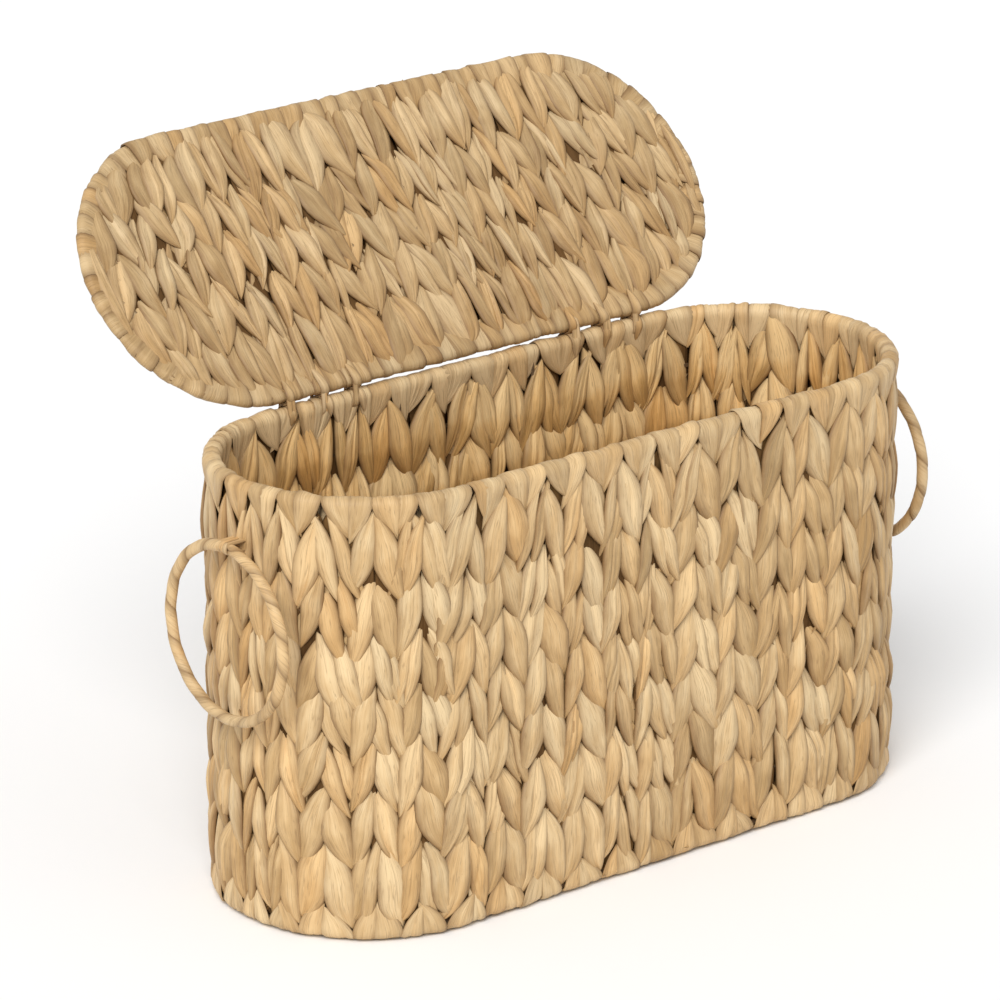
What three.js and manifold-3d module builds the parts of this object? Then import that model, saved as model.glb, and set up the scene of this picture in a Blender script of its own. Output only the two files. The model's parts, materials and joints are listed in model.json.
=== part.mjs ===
// A lidded basket for toilet paper rolls: leaves twined over a wire frame, a tied lid and two ring handles.
// Millimetres, +Z up. The origin is the middle of the underside, X runs along the basket and -Y is the front.

import * as THREE from "three";
import { mergeVertices } from "three/addons/utils/BufferGeometryUtils.js";
import Module from "manifold-3d";

const wasm = await Module();
wasm.setup();

// Basket
const basketLength = 420;
const basketWidth = 166;
const basketHeight = 234;
const wallThickness = 13;
const rimDiameter = 10;
const baseWrapReach = 16;

// Leaves of the weave
const columnWidth = 17;
const courseHeight = 28;
const leafSlant = 9;
const outerRelief = 2.5;
const innerRelief = 1.5;

// Wire frame
const hoopWire = 3;
const stayWire = 2;
const crossWire = 3;
const crossWireCount = 5;
const stayFromMiddle = 45;

// Lid
const lidLength = 403;
const lidWidth = 160;
const lidThickness = 8;
const lidWrapReach = 8;
const lidRelief = 1.2;
const lidOpenDegrees = 131;
const lidRimGap = 0.4;

// Strips that tie the lid to the rear rim, three at each side
const tiesPerSide = 3;
const tieWidth = 7;
const tieThickness = 1.2;
const tieInset = 5.5;
const tieSpacing = 21;

// Ring handles
const ringDiameter = 90;
const ringWire = 3;
const ringStandoff = 6.4;
const loopWidth = 10;
const loopThickness = 1.6;
const windingTurns = 22;
const windingThickness = 0.8;
const windingGap = 0.7;

// Clearances
const seatGap = 0.3;
const tieGap = 0.5;
const loopGap = 0.6;
const swingGap = 0.9;

// Facets
const wireSides = 5;
const arcSteps = 4;
const ringSteps = 36;
const windingSteps = 6;
const barSides = 24;

// Levels and offsets that follow from the sizes above
const wallRadius = (basketWidth - wallThickness) / 2;
const halfStraight = (basketLength - basketWidth) / 2;
const faceOut = wallThickness / 2;
const faceIn = hoopWire / 2 + seatGap;
const rimRadius = rimDiameter / 2;
const rimLevel = basketHeight - rimRadius;
const baseLevel = rimRadius;
const courses = Math.max(2, Math.round((rimLevel - baseLevel) / courseHeight));
const coursePitch = (rimLevel - baseLevel) / courses;
const hoopLevel = (k) => baseLevel + k * coursePitch;
const baseTop = 2 * baseLevel;
const handleCourse = courses - 1;

const lidRadius = lidThickness / 2;
const lidHoopRadius = lidWidth / 2 - lidRadius;
const lidHalfStraight = (lidLength - lidWidth) / 2;
const hingeY = wallRadius;
const hingeZ = basketHeight + lidRimGap + lidRadius;

// Columns of leaves round the plan, an odd number at each end so that a flat lies across the middle of the end
const columnsPerEnd = 2 * Math.max(1, Math.round((Math.PI * wallRadius / columnWidth - 1) / 2)) + 1;
const columnsPerSide = Math.max(1, Math.round(2 * halfStraight / columnWidth));
const flatShare = Math.cos(Math.PI / (2 * columnsPerEnd));
const endFlat = (offset) => halfStraight + (wallRadius + offset) * flatShare;

// Materials
const leaf = new THREE.MeshStandardMaterial({ color: 0xc8a266, roughness: 0.85, metalness: 0, flatShading: true });
const innerLeaf = new THREE.MeshStandardMaterial({ color: 0xb98d52, roughness: 0.9, metalness: 0, flatShading: true });
const strip = new THREE.MeshStandardMaterial({ color: 0xd0ac72, roughness: 0.8, metalness: 0, flatShading: true });
const wire = new THREE.MeshStandardMaterial({ color: 0x5d564c, roughness: 0.5, metalness: 0.8 });

// A geometry from a list of corners and a list of triangles, turned so that its faces point out.
function geometryOf(corners, triangles) {
  const geometry = new THREE.BufferGeometry();
  geometry.setAttribute("position", new THREE.Float32BufferAttribute(corners.flat(), 3));
  const volume = triangles.reduce((sum, [a, b, c]) => {
    const [p, q, r] = [a, b, c].map((i) => new THREE.Vector3(...corners[i]));
    return sum + p.dot(q.cross(r));
  }, 0);
  const outward = volume > 0 ? triangles : triangles.map(([a, b, c]) => [a, c, b]);
  geometry.setIndex(outward.flat());
  return geometry;
}

function solidOf(geometry) {
  const bare = geometry.clone();
  bare.deleteAttribute("normal");
  bare.deleteAttribute("uv");
  const merged = mergeVertices(bare, 1e-4);
  return new wasm.Manifold(new wasm.Mesh({
    numProp: 3,
    vertProperties: new Float32Array(merged.attributes.position.array),
    triVerts: new Uint32Array(merged.index.array),
  }));
}

function geometryFrom(solid) {
  const mesh = solid.getMesh();
  const geometry = new THREE.BufferGeometry();
  geometry.setAttribute("position", new THREE.BufferAttribute(mesh.vertProperties, 3));
  geometry.setIndex(new THREE.BufferAttribute(mesh.triVerts, 1));
  return geometry;
}

function cutFrom(geometry, cutters) {
  const cut = cutters.reduce((solid, cutter) => solid.subtract(solidOf(cutter)), solidOf(geometry));
  return geometryFrom(cut);
}

// Places round a stadium plan, counter-clockwise from the front of the right end. A point at radius r from the
// middle line is (middle + r * nx, r * ny).
function planStations(half, perEnd, perSide) {
  const end = (side) => Array.from({ length: perEnd + 1 }, (_, i) => {
    const turn = Math.PI * (i / perEnd - 0.5);
    return { middle: side * half, nx: side * Math.cos(turn), ny: side * Math.sin(turn) };
  });
  const straight = (side) => Array.from({ length: perSide - 1 }, (_, i) => {
    return { middle: side * half * (1 - 2 * (i + 1) / perSide), nx: 0, ny: side };
  });
  return [...end(1), ...straight(1), ...end(-1), ...straight(-1)];
}

const wallColumns = planStations(halfStraight, columnsPerEnd, columnsPerSide);
const wallCorners = planStations(halfStraight, columnsPerEnd, 1);
const lidCorners = planStations(lidHalfStraight, columnsPerEnd, 1);
const planPoint = (station, radius) => [station.middle + radius * station.nx, radius * station.ny];

// A ring along a stadium, from a closed profile of [offset, level] pairs.
function ringAlong(stations, radius, profile) {
  const corners = stations.flatMap((s) => profile.map(([offset, level]) => [...planPoint(s, radius + offset), level]));
  const size = profile.length;
  const triangles = stations.flatMap((_, i) => profile.flatMap((__, j) => {
    const next = (i + 1) % stations.length;
    const [a, b] = [i * size + j, i * size + (j + 1) % size];
    const [c, d] = [next * size + (j + 1) % size, next * size + j];
    return [[a, b, c], [a, c, d]];
  }));
  return geometryOf(corners, triangles);
}

function arcPoints([across, up], radius, from, to, steps) {
  return Array.from({ length: steps + 1 }, (_, i) => {
    const turn = THREE.MathUtils.degToRad(from + (to - from) * i / steps);
    return [across + radius * Math.cos(turn), up + radius * Math.sin(turn)];
  });
}

const wireSection = (level) => arcPoints([0, level], hoopWire / 2, 0, 360, wireSides).slice(1);

// A plate over the inside of a stadium.
function plateOver(stations, radius, bottom, top) {
  const outline = stations.map((s) => new THREE.Vector2(...planPoint(s, radius)));
  const plate = new THREE.ExtrudeGeometry(new THREE.Shape(outline), { depth: top - bottom, bevelEnabled: false });
  return plate.translate(0, 0, bottom);
}

function boxBetween(low, high) {
  const size = high.map((v, i) => v - low[i]);
  const middle = high.map((v, i) => (v + low[i]) / 2);
  return new THREE.BoxGeometry(...size).translate(...middle);
}

function rodAlongX(halfLength, radius, y, z) {
  const rod = new THREE.CylinderGeometry(radius, radius, 2 * halfLength, wireSides);
  return rod.rotateZ(Math.PI / 2).translate(0, y, z);
}

// The triangles of one skin of leaves. Corners come column by column, then the crown of each leaf: rows of corners
// zigzag from column to column, and each leaf rises from its four corners to its crown.
function leafCells(columns, rows, closed) {
  const across = closed ? columns : columns + 1;
  const at = (i, k) => (i % across) * (rows + 1) + k;
  const crownsFrom = across * (rows + 1);
  const triangles = [];
  for (let i = 0; i < columns; i++) {
    for (let k = 0; k < rows; k++) {
      const crown = crownsFrom + i * rows + k;
      const around = [at(i, k), at(i + 1, k), at(i + 1, k + 1), at(i, k + 1)];
      around.forEach((a, n) => triangles.push([a, around[(n + 1) % 4], crown]));
    }
  }
  return { at, triangles, backFrom: crownsFrom + columns * rows };
}

// The wall's skin on one side of the hoops: side is 1 outside and -1 inside.
function wallSkin(side, relief, bottom, top) {
  const columns = wallColumns.length;
  const rows = courses - 1;
  const level = (k) => k === 0 ? bottom : k === rows ? top : hoopLevel(k + 0.5);
  const zigzag = (i, k) => k === 0 || k === rows ? 0 : (i % 2 === 0 ? -leafSlant : leafSlant);
  const point = (i, offset, z) => [...planPoint(wallColumns[i % columns], wallRadius + side * offset), z];
  const corners = [];
  for (let i = 0; i < columns; i++) {
    for (let k = 0; k <= rows; k++) corners.push(point(i, faceOut - relief, level(k) + zigzag(i, k)));
  }
  for (let i = 0; i < columns; i++) {
    for (let k = 0; k < rows; k++) {
      const z = (level(k) + level(k + 1)) / 2;
      const [p, q] = [point(i, faceOut, z), point(i + 1, faceOut, z)];
      corners.push(p.map((v, axis) => (v + q[axis]) / 2));
    }
  }
  const { at, triangles, backFrom } = leafCells(columns, rows, true);
  for (let i = 0; i < columns; i++) corners.push(point(i, faceIn, bottom), point(i, faceIn, top));
  const back = (i, up) => backFrom + 2 * (i % columns) + up;
  for (let i = 0; i < columns; i++) {
    const [a, b, c, d] = [back(i, 0), back(i + 1, 0), back(i + 1, 1), back(i, 1)];
    triangles.push([a, c, b], [a, d, c]);
    triangles.push([a, b, at(i + 1, 0)], [a, at(i + 1, 0), at(i, 0)]);
    triangles.push([c, d, at(i, rows)], [c, at(i, rows), at(i + 1, rows)]);
  }
  return geometryOf(corners, triangles);
}

// The lid's skin on one side of its wires, before its outline is cut: side is 1 above and -1 below.
function lidSlab(side) {
  const columns = Math.ceil(lidLength / columnWidth);
  const lidCourses = crossWireCount + 1;
  const pitch = 2 * lidHoopRadius / lidCourses;
  const rows = lidCourses + 1;
  const line = (k) => -lidHoopRadius + (k - 0.5) * pitch;
  const zigzag = (i, k) => k === 0 || k === rows ? 0 : (i % 2 === 0 ? leafSlant : -leafSlant);
  const x = (i) => (i - columns / 2) * columnWidth;
  const corners = [];
  for (let i = 0; i <= columns; i++) {
    for (let k = 0; k <= rows; k++) corners.push([x(i), line(k) + zigzag(i, k), side * (lidRadius - lidRelief)]);
  }
  for (let i = 0; i < columns; i++) {
    for (let k = 0; k < rows; k++) corners.push([x(i + 0.5), line(k + 0.5), side * lidRadius]);
  }
  const { at, triangles, backFrom } = leafCells(columns, rows, false);
  const edge = [];
  for (let i = 0; i < columns; i++) edge.push(at(i, 0));
  for (let k = 0; k < rows; k++) edge.push(at(columns, k));
  for (let i = columns; i > 0; i--) edge.push(at(i, rows));
  for (let k = rows; k > 0; k--) edge.push(at(0, k));
  edge.forEach((index) => corners.push([corners[index][0], corners[index][1], side * faceIn]));
  const middle = corners.push([0, 0, side * faceIn]) - 1;
  edge.forEach((index, n) => {
    const next = (n + 1) % edge.length;
    const [a, b] = [backFrom + n, backFrom + next];
    triangles.push([a, b, edge[next]], [a, edge[next], index], [b, a, middle]);
  });
  return geometryOf(corners, triangles);
}

function lidSkin(side) {
  const outline = plateOver(lidCorners, lidHoopRadius - lidWrapReach - seatGap, -lidThickness, lidThickness);
  return geometryFrom(solidOf(lidSlab(side)).intersect(solidOf(outline)));
}

// Strips folded over the rim hoop, as an upside-down U round the top of the wall.
function rimWrap() {
  const foot = hoopLevel(courses - 0.5);
  const profile = [
    [rimRadius, foot],
    ...arcPoints([0, rimLevel], rimRadius, 0, 180, arcSteps),
    [-rimRadius, foot],
    [-faceIn, foot],
    ...arcPoints([0, rimLevel], faceIn, 180, 0, arcSteps),
    [faceIn, foot],
  ];
  return ringAlong(wallCorners, wallRadius, profile);
}

// Strips folded under the base hoop, up the outside of the wall and in under the base.
function baseEdgeWrap() {
  const head = hoopLevel(0.5);
  const profile = [
    [rimRadius, head],
    ...arcPoints([0, baseLevel], rimRadius, 0, -90, arcSteps),
    [-baseWrapReach, 0],
    [-baseWrapReach, baseLevel - faceIn],
    ...arcPoints([0, baseLevel], faceIn, -90, 0, arcSteps),
    [faceIn, head],
  ];
  return ringAlong(wallCorners, wallRadius, profile);
}

// Strips folded round the lid's hoop, open towards the middle of the lid.
function lidEdgeWrap() {
  const profile = [
    [-lidWrapReach, lidRadius],
    ...arcPoints([0, 0], lidRadius, 90, -90, arcSteps),
    [-lidWrapReach, -lidRadius],
    [-lidWrapReach, -faceIn],
    ...arcPoints([0, 0], faceIn, -90, 90, arcSteps),
    [-lidWrapReach, faceIn],
  ];
  return ringAlong(lidCorners, lidHoopRadius, profile);
}

// The outline of a band drawn tight round two circles that stand one above the other.
function bandOutline(low, lowRadius, high, highRadius) {
  const lean = THREE.MathUtils.radToDeg(Math.asin((lowRadius - highRadius) / (high[1] - low[1])));
  const upper = arcPoints(high, highRadius, lean, 180 - lean, arcSteps);
  const lower = arcPoints(low, lowRadius, 180 - lean, 360 + lean, arcSteps);
  return [...upper, ...lower].map(([across, up]) => new THREE.Vector2(across, up));
}

function band(low, lowRadius, high, highRadius, thickness, width) {
  const shape = new THREE.Shape(bandOutline(low, lowRadius + thickness, high, highRadius + thickness));
  shape.holes.push(new THREE.Path(bandOutline(low, lowRadius, high, highRadius)));
  const solid = new THREE.ExtrudeGeometry(shape, { depth: width, bevelEnabled: false });
  return solid.translate(0, 0, -width / 2);
}

// A tie round the rim and the rear bar of the lid. The slack makes the wider cut that lets the tie through the rim.
function hingeTie(x, slack) {
  const lowRadius = rimRadius + tieGap - slack;
  const highRadius = lidRadius + tieGap - slack;
  const solid = band(
    [hingeY, rimLevel], lowRadius, [hingeY, hingeZ], highRadius, tieThickness + 2 * slack, tieWidth + 2 * slack,
  );
  const upright = new THREE.Matrix4().makeBasis(
    new THREE.Vector3(0, 1, 0), new THREE.Vector3(0, 0, 1), new THREE.Vector3(1, 0, 0),
  );
  return solid.applyMatrix4(upright).translate(x, 0, 0);
}

// The slot in the lid's edge that leaves a round bar for a tie to turn on. Hinge axis at the origin.
function tieSlot(x) {
  const halfWidth = tieWidth / 2 + swingGap;
  const reach = lidRadius + tieGap + tieThickness + swingGap;
  const block = boxBetween([x - halfWidth, -reach, -lidThickness], [x + halfWidth, -lidRadius / 8, lidThickness]);
  const bar = new THREE.CylinderGeometry(lidRadius, lidRadius, 3 * halfWidth, barSides);
  bar.rotateZ(Math.PI / 2).translate(x, 0, 0);
  return cutFrom(block, [bar]);
}

const tiePlaces = Array.from({ length: tiesPerSide }, (_, i) => lidHalfStraight - tieInset - i * tieSpacing);

// Handle rings hang from the top wall hoop, at the middle of each end.
const ringX = endFlat(faceOut) + ringStandoff;
const ringTop = hoopLevel(handleCourse);
const ringRadius = ringDiameter / 2;
const loopRadius = Math.max(hoopWire, ringWire) / 2 + loopGap;
const loopEdge = loopRadius + loopThickness;

// A strip loop round the hoop and the top of the ring, at the right end for side 1.
function handleLoop(side) {
  const span = ringX - endFlat(0);
  const solid = band([0, 0], loopRadius, [0, span], loopRadius, loopThickness, loopWidth);
  const sideways = new THREE.Matrix4().makeBasis(
    new THREE.Vector3(0, 0, side), new THREE.Vector3(side, 0, 0), new THREE.Vector3(0, 1, 0),
  );
  return solid.applyMatrix4(sideways).translate(side * endFlat(0), 0, ringTop);
}

// The hole through the weave that the loop passes through.
function loopHole(side) {
  const reach = wallThickness;
  const [near, far] = [endFlat(0) - reach, endFlat(0) + reach].map((x) => side * x);
  const halfWidth = loopWidth / 2 + seatGap;
  const halfHeight = loopEdge + seatGap;
  return boxBetween(
    [Math.min(near, far), -halfWidth, ringTop - halfHeight], [Math.max(near, far), halfWidth, ringTop + halfHeight],
  );
}

// The wound strip: a flat band turning round the ring's wire, with the wire left bare inside the loop.
function ringWinding() {
  const chordSag = ringRadius * (1 - Math.cos(Math.PI / windingTurns));
  const inner = (ringWire / 2 + chordSag + seatGap) / Math.cos(Math.PI / windingSteps);
  const outer = inner + windingThickness;
  const bare = (loopWidth / 2 + swingGap) / ringRadius;
  const gap = windingGap / ringRadius;
  const pitch = (2 * Math.PI - 2 * bare + gap) / (windingTurns + 1);
  const width = pitch - gap;
  const start = Math.PI / 2 + bare + width / 2;
  const steps = windingTurns * windingSteps;
  const place = (along, radius, turn) => {
    const reach = ringRadius + radius * Math.cos(turn);
    return [radius * Math.sin(turn), reach * Math.cos(along), reach * Math.sin(along)];
  };
  const section = [[-width / 2, inner], [width / 2, inner], [width / 2, outer], [-width / 2, outer]];
  const corners = [];
  for (let i = 0; i <= steps; i++) {
    const turn = 2 * Math.PI * i / windingSteps;
    const along = start + pitch * i / windingSteps;
    section.forEach(([shift, radius]) => corners.push(place(along + shift, radius, turn)));
  }
  const triangles = [[0, 2, 1], [0, 3, 2]];
  for (let i = 0; i < steps; i++) {
    for (let j = 0; j < 4; j++) {
      const [a, b] = [4 * i + j, 4 * i + (j + 1) % 4];
      triangles.push([a, b, b + 4], [a, b + 4, a + 4]);
    }
  }
  const last = 4 * steps;
  triangles.push([last, last + 1, last + 2], [last, last + 2, last + 3]);
  return { geometry: geometryOf(corners, triangles), corners };
}

// The least distance between the rear edge of one turn and the front edge of the next.
function leastGap(corners) {
  const rungs = corners.length / 4;
  let least = Infinity;
  for (let i = 0; i + windingSteps < rungs; i++) {
    for (const [rear, front] of [[1, 0], [2, 3]]) {
      const from = new THREE.Vector3(...corners[4 * i + rear]);
      const ahead = [-1, 0].filter((n) => i + windingSteps + n >= 0);
      for (const n of ahead) {
        const line = new THREE.Line3(
          new THREE.Vector3(...corners[4 * (i + windingSteps + n) + front]),
          new THREE.Vector3(...corners[4 * Math.min(i + windingSteps + n + 1, rungs - 1) + front]),
        );
        const nearest = line.closestPointToPoint(from, true, new THREE.Vector3());
        least = Math.min(least, nearest.distanceTo(from));
      }
    }
  }
  return least;
}

function named(name, geometry, material) {
  const mesh = new THREE.Mesh(geometry, material);
  mesh.name = name;
  return mesh;
}

// Upright wires inside the hoops: two on each long side and two round each end.
const stayOffset = hoopWire / 2 + seatGap + stayWire / 2;
const endStay = Math.round(columnsPerEnd / 3);
const stayPlaces = [];
for (const [sideName, side] of [["left", -1], ["right", 1]]) {
  const turn = Math.PI * (endStay / columnsPerEnd - 0.5);
  const reach = wallRadius - stayOffset;
  for (const [faceName, face] of [["front", -1], ["rear", 1]]) {
    stayPlaces.push([`${faceName}_${sideName}_stay`, side * stayFromMiddle, face * reach]);
    const x = side * (halfStraight + reach * Math.cos(turn));
    stayPlaces.push([`${sideName}_end_${faceName}_stay`, x, face * reach * Math.abs(Math.sin(turn))]);
  }
}
const stayBottom = baseLevel - hoopWire / 2;
const stayTop = rimLevel;

function uprightRod(x, y, radius, bottom, top) {
  const rod = new THREE.CylinderGeometry(radius, radius, top - bottom, wireSides);
  return rod.rotateX(Math.PI / 2).translate(x, y, (top + bottom) / 2);
}

// The grooves that the stays lie in, through the weave from the base up to the rim.
const stayGrooves = stayPlaces.map(([, x, y]) => {
  return uprightRod(x, y, stayWire / 2 + seatGap, stayBottom - seatGap, stayTop + seatGap);
});

// Half the length of a wire that ends on the inside of a hoop.
function wireReach(half, radius, y, section) {
  const inside = (radius - hoopWire / 2 - seatGap) * flatShare;
  const across = Math.abs(y) + section;
  return half + Math.sqrt(Math.max(0, inside ** 2 - across ** 2));
}

function crossWires(prefix, half, radius, level) {
  const pitch = 2 * radius / (crossWireCount + 1);
  return Array.from({ length: crossWireCount }, (_, i) => {
    const y = (i + 1) * pitch - radius;
    const rod = rodAlongX(wireReach(half, radius, y, crossWire / 2), crossWire / 2, y, level);
    return named(`${prefix}_wire_${i + 1}`, rod, wire);
  });
}

// Basket body
const basket = new THREE.Group();
for (let k = 0; k <= courses; k++) {
  const name = k === 0 ? "base_hoop" : k === courses ? "rim_hoop" : `wall_hoop_${k}`;
  basket.add(named(name, ringAlong(wallCorners, wallRadius, wireSection(hoopLevel(k))), wire));
}
stayPlaces.forEach(([name, x, y]) => {
  basket.add(named(name, uprightRod(x, y, stayWire / 2, stayBottom, stayTop), wire));
});
basket.add(...crossWires("base", halfStraight, wallRadius, baseLevel));

const loopHoles = [loopHole(-1), loopHole(1)];
const skinTop = hoopLevel(courses - 0.5) - seatGap;
const outerSkin = wallSkin(1, outerRelief, hoopLevel(0.5) + seatGap, skinTop);
const innerSkin = wallSkin(-1, innerRelief, baseTop + seatGap, skinTop);
basket.add(named("wall_outer_weave", cutFrom(outerSkin, loopHoles), leaf));
basket.add(named("wall_inner_weave", cutFrom(innerSkin, [...loopHoles, ...stayGrooves]), innerLeaf));

const tieXs = [...tiePlaces.map((x) => -x), ...tiePlaces.toReversed()];
const tieCuts = tieXs.map((x) => hingeTie(x, seatGap));
basket.add(named("rim_wrap", cutFrom(rimWrap(), [...tieCuts, ...stayGrooves]), strip));
basket.add(named("base_edge_wrap", baseEdgeWrap(), strip));
const baseUpper = plateOver(wallCorners, wallRadius + faceIn - seatGap, baseLevel + faceIn, baseTop);
basket.add(named("base_upper_weave", cutFrom(baseUpper, stayGrooves), innerLeaf));
const baseLower = plateOver(wallCorners, wallRadius - baseWrapReach - seatGap, 0, baseLevel - faceIn);
basket.add(named("base_lower_weave", baseLower, leaf));

tieXs.forEach((x, i) => {
  const sideName = x < 0 ? "left" : "right";
  basket.add(named(`hinge_tie_${sideName}_${(i % tiesPerSide) + 1}`, hingeTie(x, 0), strip));
});
basket.add(named("handle_loop_left", handleLoop(-1), strip));
basket.add(named("handle_loop_right", handleLoop(1), strip));

// Lid, built flat round its hinge axis and turned to its open pose
const lid = new THREE.Group();
const lidMiddle = -lidHoopRadius;
const lidPieces = [
  ["lid_hoop", ringAlong(lidCorners, lidHoopRadius, wireSection(0)), wire],
  ["lid_upper_weave", lidSkin(1), leaf],
  ["lid_lower_weave", lidSkin(-1), leaf],
];
lidPieces.forEach(([name, geometry, material]) => {
  lid.add(named(name, geometry.translate(0, lidMiddle, 0), material));
});
crossWires("lid", lidHalfStraight, lidHoopRadius, 0).forEach((rod) => {
  rod.position.y = lidMiddle;
  lid.add(rod);
});
const lidEdge = lidEdgeWrap().translate(0, lidMiddle, 0);
lid.add(named("lid_edge_wrap", cutFrom(lidEdge, tieXs.map((x) => tieSlot(x))), strip));
lid.position.set(0, hingeY, hingeZ);
lid.rotation.x = -THREE.MathUtils.degToRad(lidOpenDegrees);

// Handles, hanging straight down in their loops
const winding = ringWinding();
console.log(`least gap between turns of the handle winding: ${leastGap(winding.corners).toFixed(2)} mm`);

function handle(sideName, side) {
  const group = new THREE.Group();
  const core = new THREE.TorusGeometry(ringRadius, ringWire / 2, wireSides, ringSteps);
  group.add(named(`handle_core_${sideName}`, core.rotateY(Math.PI / 2), wire));
  group.add(named(`handle_wrap_${sideName}`, winding.geometry.clone(), strip));
  group.position.set(side * ringX, 0, ringTop - ringRadius);
  return group;
}

const toiletPaperBasket = new THREE.Group();
toiletPaperBasket.name = "toilet_paper_basket";
toiletPaperBasket.add(basket, lid, handle("left", -1), handle("right", 1));

export default toiletPaperBasket;
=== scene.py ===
import json
import logging
import math
from dataclasses import dataclass, replace
from enum import Enum
from typing import Any, Iterator, Protocol

import bpy
import numpy as np
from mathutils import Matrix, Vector


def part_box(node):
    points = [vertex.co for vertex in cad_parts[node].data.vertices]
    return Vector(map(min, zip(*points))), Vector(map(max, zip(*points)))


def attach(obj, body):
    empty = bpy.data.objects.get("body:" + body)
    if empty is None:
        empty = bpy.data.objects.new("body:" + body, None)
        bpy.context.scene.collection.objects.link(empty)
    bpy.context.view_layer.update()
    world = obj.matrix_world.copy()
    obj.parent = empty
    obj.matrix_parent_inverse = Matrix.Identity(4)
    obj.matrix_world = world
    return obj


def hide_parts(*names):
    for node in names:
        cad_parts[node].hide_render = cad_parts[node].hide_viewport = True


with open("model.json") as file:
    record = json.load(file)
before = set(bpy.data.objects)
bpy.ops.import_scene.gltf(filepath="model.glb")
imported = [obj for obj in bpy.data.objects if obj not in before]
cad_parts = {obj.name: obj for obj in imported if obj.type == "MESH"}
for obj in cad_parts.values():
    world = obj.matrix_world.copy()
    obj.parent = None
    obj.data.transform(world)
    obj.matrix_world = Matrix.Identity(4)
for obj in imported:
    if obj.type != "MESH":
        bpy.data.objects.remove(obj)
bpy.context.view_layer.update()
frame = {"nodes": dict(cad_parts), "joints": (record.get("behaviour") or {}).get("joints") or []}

# Lengths are in millimetres until a mesh, a lamp or the camera is placed.
MM = 0.001
SEED = 61

Array = np.ndarray
Colour = Triple = tuple[float, float, float]
Pair = tuple[float, float]
Rng = np.random.Generator
Socket = bpy.types.NodeSocket
log = logging.getLogger("basket")


class Side(Enum):
    """The two faces of a woven sheet, with the sign of the way each one looks."""

    FRONT = 1
    BACK = -1


class End(Enum):
    """The two ends of the basket, with the sign of x there."""

    LEFT = -1
    RIGHT = 1


class Tip(Enum):
    """The two ends of a strip, with their place in its pairs."""

    LOWER = 0
    UPPER = 1


def node_points(name: str) -> Array:
    """Gives the corners of a CAD node at rest.

    Args:
        name: The node's name.

    Returns:
        One row of x, y and z for each corner, in millimetres.
    """
    vertices = frame["nodes"][name].data.vertices
    points = np.empty(len(vertices) * 3)
    vertices.foreach_get("co", points)
    return points.reshape(-1, 3) / MM


def node_middle(name: str) -> Array:
    """Gives the middle of a CAD node's box, in millimetres."""
    low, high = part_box(name)
    return np.array((low + high) / 2) / MM


def joint_named(name: str) -> dict[str, Any]:
    """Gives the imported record's joint of that name."""
    return next(joint for joint in frame["joints"] if joint["name"] == name)


def joint_place(name: str) -> Array:
    """Gives a joint's place, in millimetres."""
    return np.array(joint_named(name)["pos_m"]) / MM


def changed(values: tuple[float, ...], place: int, value: float) -> tuple[float, ...]:
    """Gives a copy of some values with one of them changed."""
    return (*values[:place], value, *values[place + 1:])


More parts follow.
